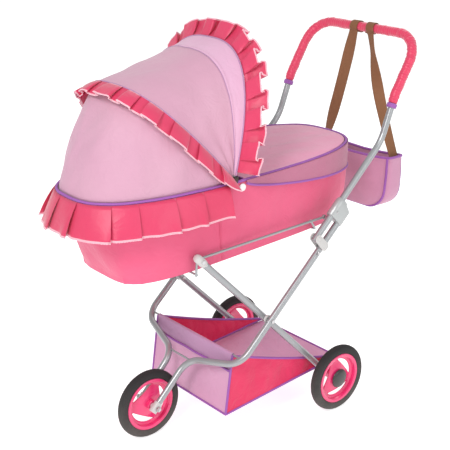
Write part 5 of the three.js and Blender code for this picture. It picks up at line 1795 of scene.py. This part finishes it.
@dataclass
class Basket:
    """The cloth basket: front panel with a folded flap, floor and two bright sides, all bound in purple.

    Attributes:
        half_width: its half width.
        top: the top of its front edge, (y, z).
        low: the bottom of its front edge.
        rear: its rear edge.
        flap: how wide the folded flap is.
    """

    half_width: float = 118.0
    top: tuple = (-246.0, 111.0)
    low: tuple = (-262.0, -9.0)
    rear: tuple = (50.0, 12.0)
    flap: float = 31.0

    def sheet(self, name: str, points: Grid, finish: Finish) -> Piece:
        """Makes one panel of cloth."""
        piece = surface(name, points, finish, thickness=0.8)
        as_cloth(piece)
        return piece

    def build(self) -> None:
        """Builds the basket."""
        w = self.half_width
        x = np.linspace(-w, w, 90)
        t = np.linspace(0, 1, 50)[:, None]
        line = lambda a, b: np.array([a[0], a[1]])[None] * (1 - t) + np.array([b[0], b[1]])[None] * t
        front = self.panel(x, line(self.top, self.low), 61.0, 3.6, -1)
        floor = self.panel(x, line(self.low, self.rear), 62.0, 4.0, 1)
        pieces = [self.sheet("basket_front_panel", front, Finish.PANEL),
            self.sheet("basket_floor_panel", floor, Finish.PANEL)]
        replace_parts(pieces[1], "basket")
        pieces += self.flap_pieces(x)
        for side, name in SIDES:
            pieces += self.side(side, name)
        for label, edge in (("low", front[-1]), ("rear", floor[-1])):
            pieces.append(TUBES.make(f"basket_{label}_piping", edge, PIPING, Finish.BINDING, 10))
        for piece in pieces:
            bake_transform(piece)
            LOG.info("%s blends from chassis to rear_legs", piece.name)

    def panel(self, x: Grid, line: Grid, seed: float, depth: float, way: int) -> Grid:
        """Gives a creased panel across the basket.

        Args:
            x: the places across it.
            line: the panel's (y, z) line from one edge to the other.
            seed: which creases.
            depth: how deep the creases are.
            way: 1 or -1 for which side is raised.

        Returns:
            The grid.
        """
        rows = line.shape[0]
        points = np.zeros((rows, len(x), 3))
        points[..., 0] = x[None]
        points[..., 1], points[..., 2] = line[:, :1], line[:, 1:]
        downward = np.sin(math.pi * np.linspace(0, 1, rows))[:, None]
        edge = downward * np.clip(np.cos(math.pi * x / (2 * self.half_width)), 0, 1)[None] ** 0.5
        bumps = ripple(points, 52, seed, (1, 1.6, 1.6)) * depth
        bumps += ripple(points, 20, seed + 1, (1, 1.4, 1.4)) * depth * 0.3
        sag = 3.0 * edge
        if way < 0:
            points[..., 1] += bumps * edge * 0.6 + 1.5 * edge
        else:
            points[..., 2] += bumps * edge * 0.8 - np.minimum(sag, 2.0)
        points[..., 2] = np.maximum(points[..., 2], -11.0) if way > 0 else points[..., 2]
        return points

    def flap_pieces(self, x: Grid) -> list[Piece]:
        """Makes the flap that folds over the front rod, with its purple hem."""
        rod_y, rod_z, reach = -243.0, 112.6, 3.2
        around = np.linspace(0, math.pi, 14)
        over = np.stack([rod_y + reach * np.cos(around), rod_z + reach * np.sin(around)], axis=1)
        down = np.linspace(0, 1, 16)[1:, None]
        fall = over[-1][None] + down * np.array([-2.4, -self.flap])[None]
        line = np.concatenate([over, fall])
        points = np.zeros((len(line), len(x), 3))
        points[..., 0] = x[None] * 0.985
        points[..., 1], points[..., 2] = line[:, :1], line[:, 1:]
        hang = np.clip((np.arange(len(line)) - 13) / 15.0, 0, 1)[:, None]
        points[..., 1] -= hang * (1.5 + 2.2 * ripple(points, 38, 71.0, (1, 1, 3)))
        binding = TUBES.make("basket_flap_hem", resample(points[-1] + [0, -2.2, 0], 90), 2.2, Finish.BINDING, 10)
        return [self.sheet("basket_flap", points, Finish.FLAP), binding]

    def side(self, side: int, name: str) -> list[Piece]:
        """Makes one bright triangular side with its bindings."""
        along, up = np.linspace(0, 1, 70), np.linspace(0, 1, 36)[:, None]
        end = (self.rear[0] - 2, self.rear[1] + 4)
        low_y = self.low[0] + (end[0] - self.low[0]) * along
        low_z = self.low[1] + (end[1] - self.low[1]) * along
        top_y = self.top[0] + (end[0] - self.top[0]) * along
        top_z = self.top[1] + (end[1] - self.top[1]) * along - 5.5 * np.sin(math.pi * along) + 0.6
        points = np.zeros((36, 70, 3))
        points[..., 1] = top_y * (1 - up) + low_y * up
        points[..., 2] = top_z * (1 - up) + low_z * up
        points[..., 0] = side * self.half_width
        edge = np.sin(math.pi * up) * np.sin(math.pi * np.clip(along, 0, 1))[None] ** 0.7
        creases = ripple(points, 34, 80.0 + side, (1, 1, 2.2)) * 6.5
        creases += ripple(points, 13, 82.0 + side, (1, 1, 2)) * 1.8
        points[..., 0] += side * np.clip(creases * edge, -6, 3.5)
        cloth = self.sheet(f"{name}_basket_side", points, Finish.SIDE)
        lines = {"top": points[0], "low": points[-1], "front": points[:, 0]}
        return [cloth, *[TUBES.make(f"{name}_basket_{k}_piping", resample(v, 60), PIPING, Finish.BINDING, 10)
            for k, v in lines.items()]]


# ---- the studio -----------------------------------------------------------------------------------------


@dataclass(frozen=True)
class Studio:
    """The camera, the soft lights and the pale floor.

    Attributes:
        azimuth: the camera's direction in degrees, 0 looking along +y and 90 along -x.
        elevation: its angle above the horizon.
        distance: from the camera to its target, in metres.
        roll: its roll in degrees.
        lens: its focal length in millimetres on a 36 mm sensor.
        target: what it looks at, in millimetres from the axle.
    """

    azimuth: float = 49.715
    elevation: float = 19.828
    distance: float = 2.0842
    roll: float = 0.266
    lens: float = 78.9
    target: tuple = (-108.6, -73.6, 273.5)

    def build(self) -> None:
        """Builds the studio."""
        self.camera()
        self.floor()
        self.lights()

    def camera(self) -> None:
        """Makes the camera."""
        a, e = math.radians(self.azimuth), math.radians(self.elevation)
        back = Vector((math.sin(a) * math.cos(e), -math.cos(a) * math.cos(e), math.sin(e)))
        data = bpy.data.cameras.new("view")
        data.lens, data.sensor_width = self.lens, 36.0
        eye = bpy.data.objects.new("view", data)
        bpy.context.scene.collection.objects.link(eye)
        facing = (-back).to_track_quat("-Z", "Y").to_matrix().to_4x4()
        turn = facing @ Matrix.Rotation(math.radians(self.roll), 4, "Z")
        eye.matrix_world = Matrix.Translation(Vector(place(self.target)) + back * self.distance) @ turn
        bpy.context.scene.camera = eye

    def floor(self) -> None:
        """Makes the pale floor."""
        mesh = bpy.data.meshes.new("floor")
        half = 30.0
        mesh.from_pydata([(-half, -half, 0), (half, -half, 0), (half, half, 0), (-half, half, 0)], [], [(0, 1, 2, 3)])
        floor = bpy.data.objects.new("floor", mesh)
        bpy.context.scene.collection.objects.link(floor)
        material = bpy.data.materials.new("pale_floor")
        material.use_nodes = True
        shader = material.node_tree.nodes["Principled BSDF"]
        shader.inputs["Base Color"].default_value = (0.78, 0.78, 0.78, 1)
        shader.inputs["Roughness"].default_value = 0.9
        shader.inputs["Emission Color"].default_value = (1, 1, 1, 1)
        shader.inputs["Emission Strength"].default_value = 0.62
        mesh.materials.append(material)

    def lights(self) -> None:
        """Makes the even surroundings and three soft lamps."""
        world = bpy.data.worlds.new("studio")
        bpy.context.scene.world = world
        world.use_nodes = True
        world.node_tree.nodes["Background"].inputs[0].default_value = (1, 1, 1, 1)
        world.node_tree.nodes["Background"].inputs[1].default_value = 0.6
        for name, spot, power, size in (("key", (1.1, -2.3, 2.5), 54, 1.0), ("side", (2.6, 0.2, 1.5), 14, 1.4),
                ("rim", (-1.4, 2.0, 2.4), 16, 1.6)):
            data = bpy.data.lights.new(name, "AREA")
            data.energy, data.size = power, size
            lamp = bpy.data.objects.new(name, data)
            bpy.context.scene.collection.objects.link(lamp)
            aim = Vector((0, 0, 0.4)) - Vector(spot)
            lamp.matrix_world = Matrix.Translation(spot) @ aim.to_track_quat("-Z", "Y").to_matrix().to_4x4()


def finish_frame_nodes() -> None:
    """Gives the CAD nodes that stay in view their finishes."""
    for node, finish in (("rear_axle", Finish.STEEL),):
        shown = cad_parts[node]
        shown.data.materials.clear()
        shown.data.materials.append(finish.material())


def main() -> None:
    """Builds the pram and its studio in order."""
    logging.basicConfig(level=logging.WARNING, format="%(name)s: %(message)s")
    Studio().build()
    Frame().build()
    Wheel("front_wheel", "front_wheel", 0.0, -359.0, 1, False, ("front_tyre", "front_rim")).build()
    for side, name in SIDES:
        nodes = tuple(f"{name}_{part}" for part in ("rear_tyre", "rear_rim", "hub_cap"))
        Wheel(f"{name}_wheel", f"{name}_rear_wheel", side * 161.6, 0.0, side, True, nodes, 100.0).build()
    Handle().build()
    Carrycot().build()
    Hood().build()
    Bag().build()
    Basket().build()
    finish_frame_nodes()
    bpy.context.scene.view_settings.view_transform = "Standard"
    bpy.context.view_layer.update()


if __name__ == "__main__":
    main()
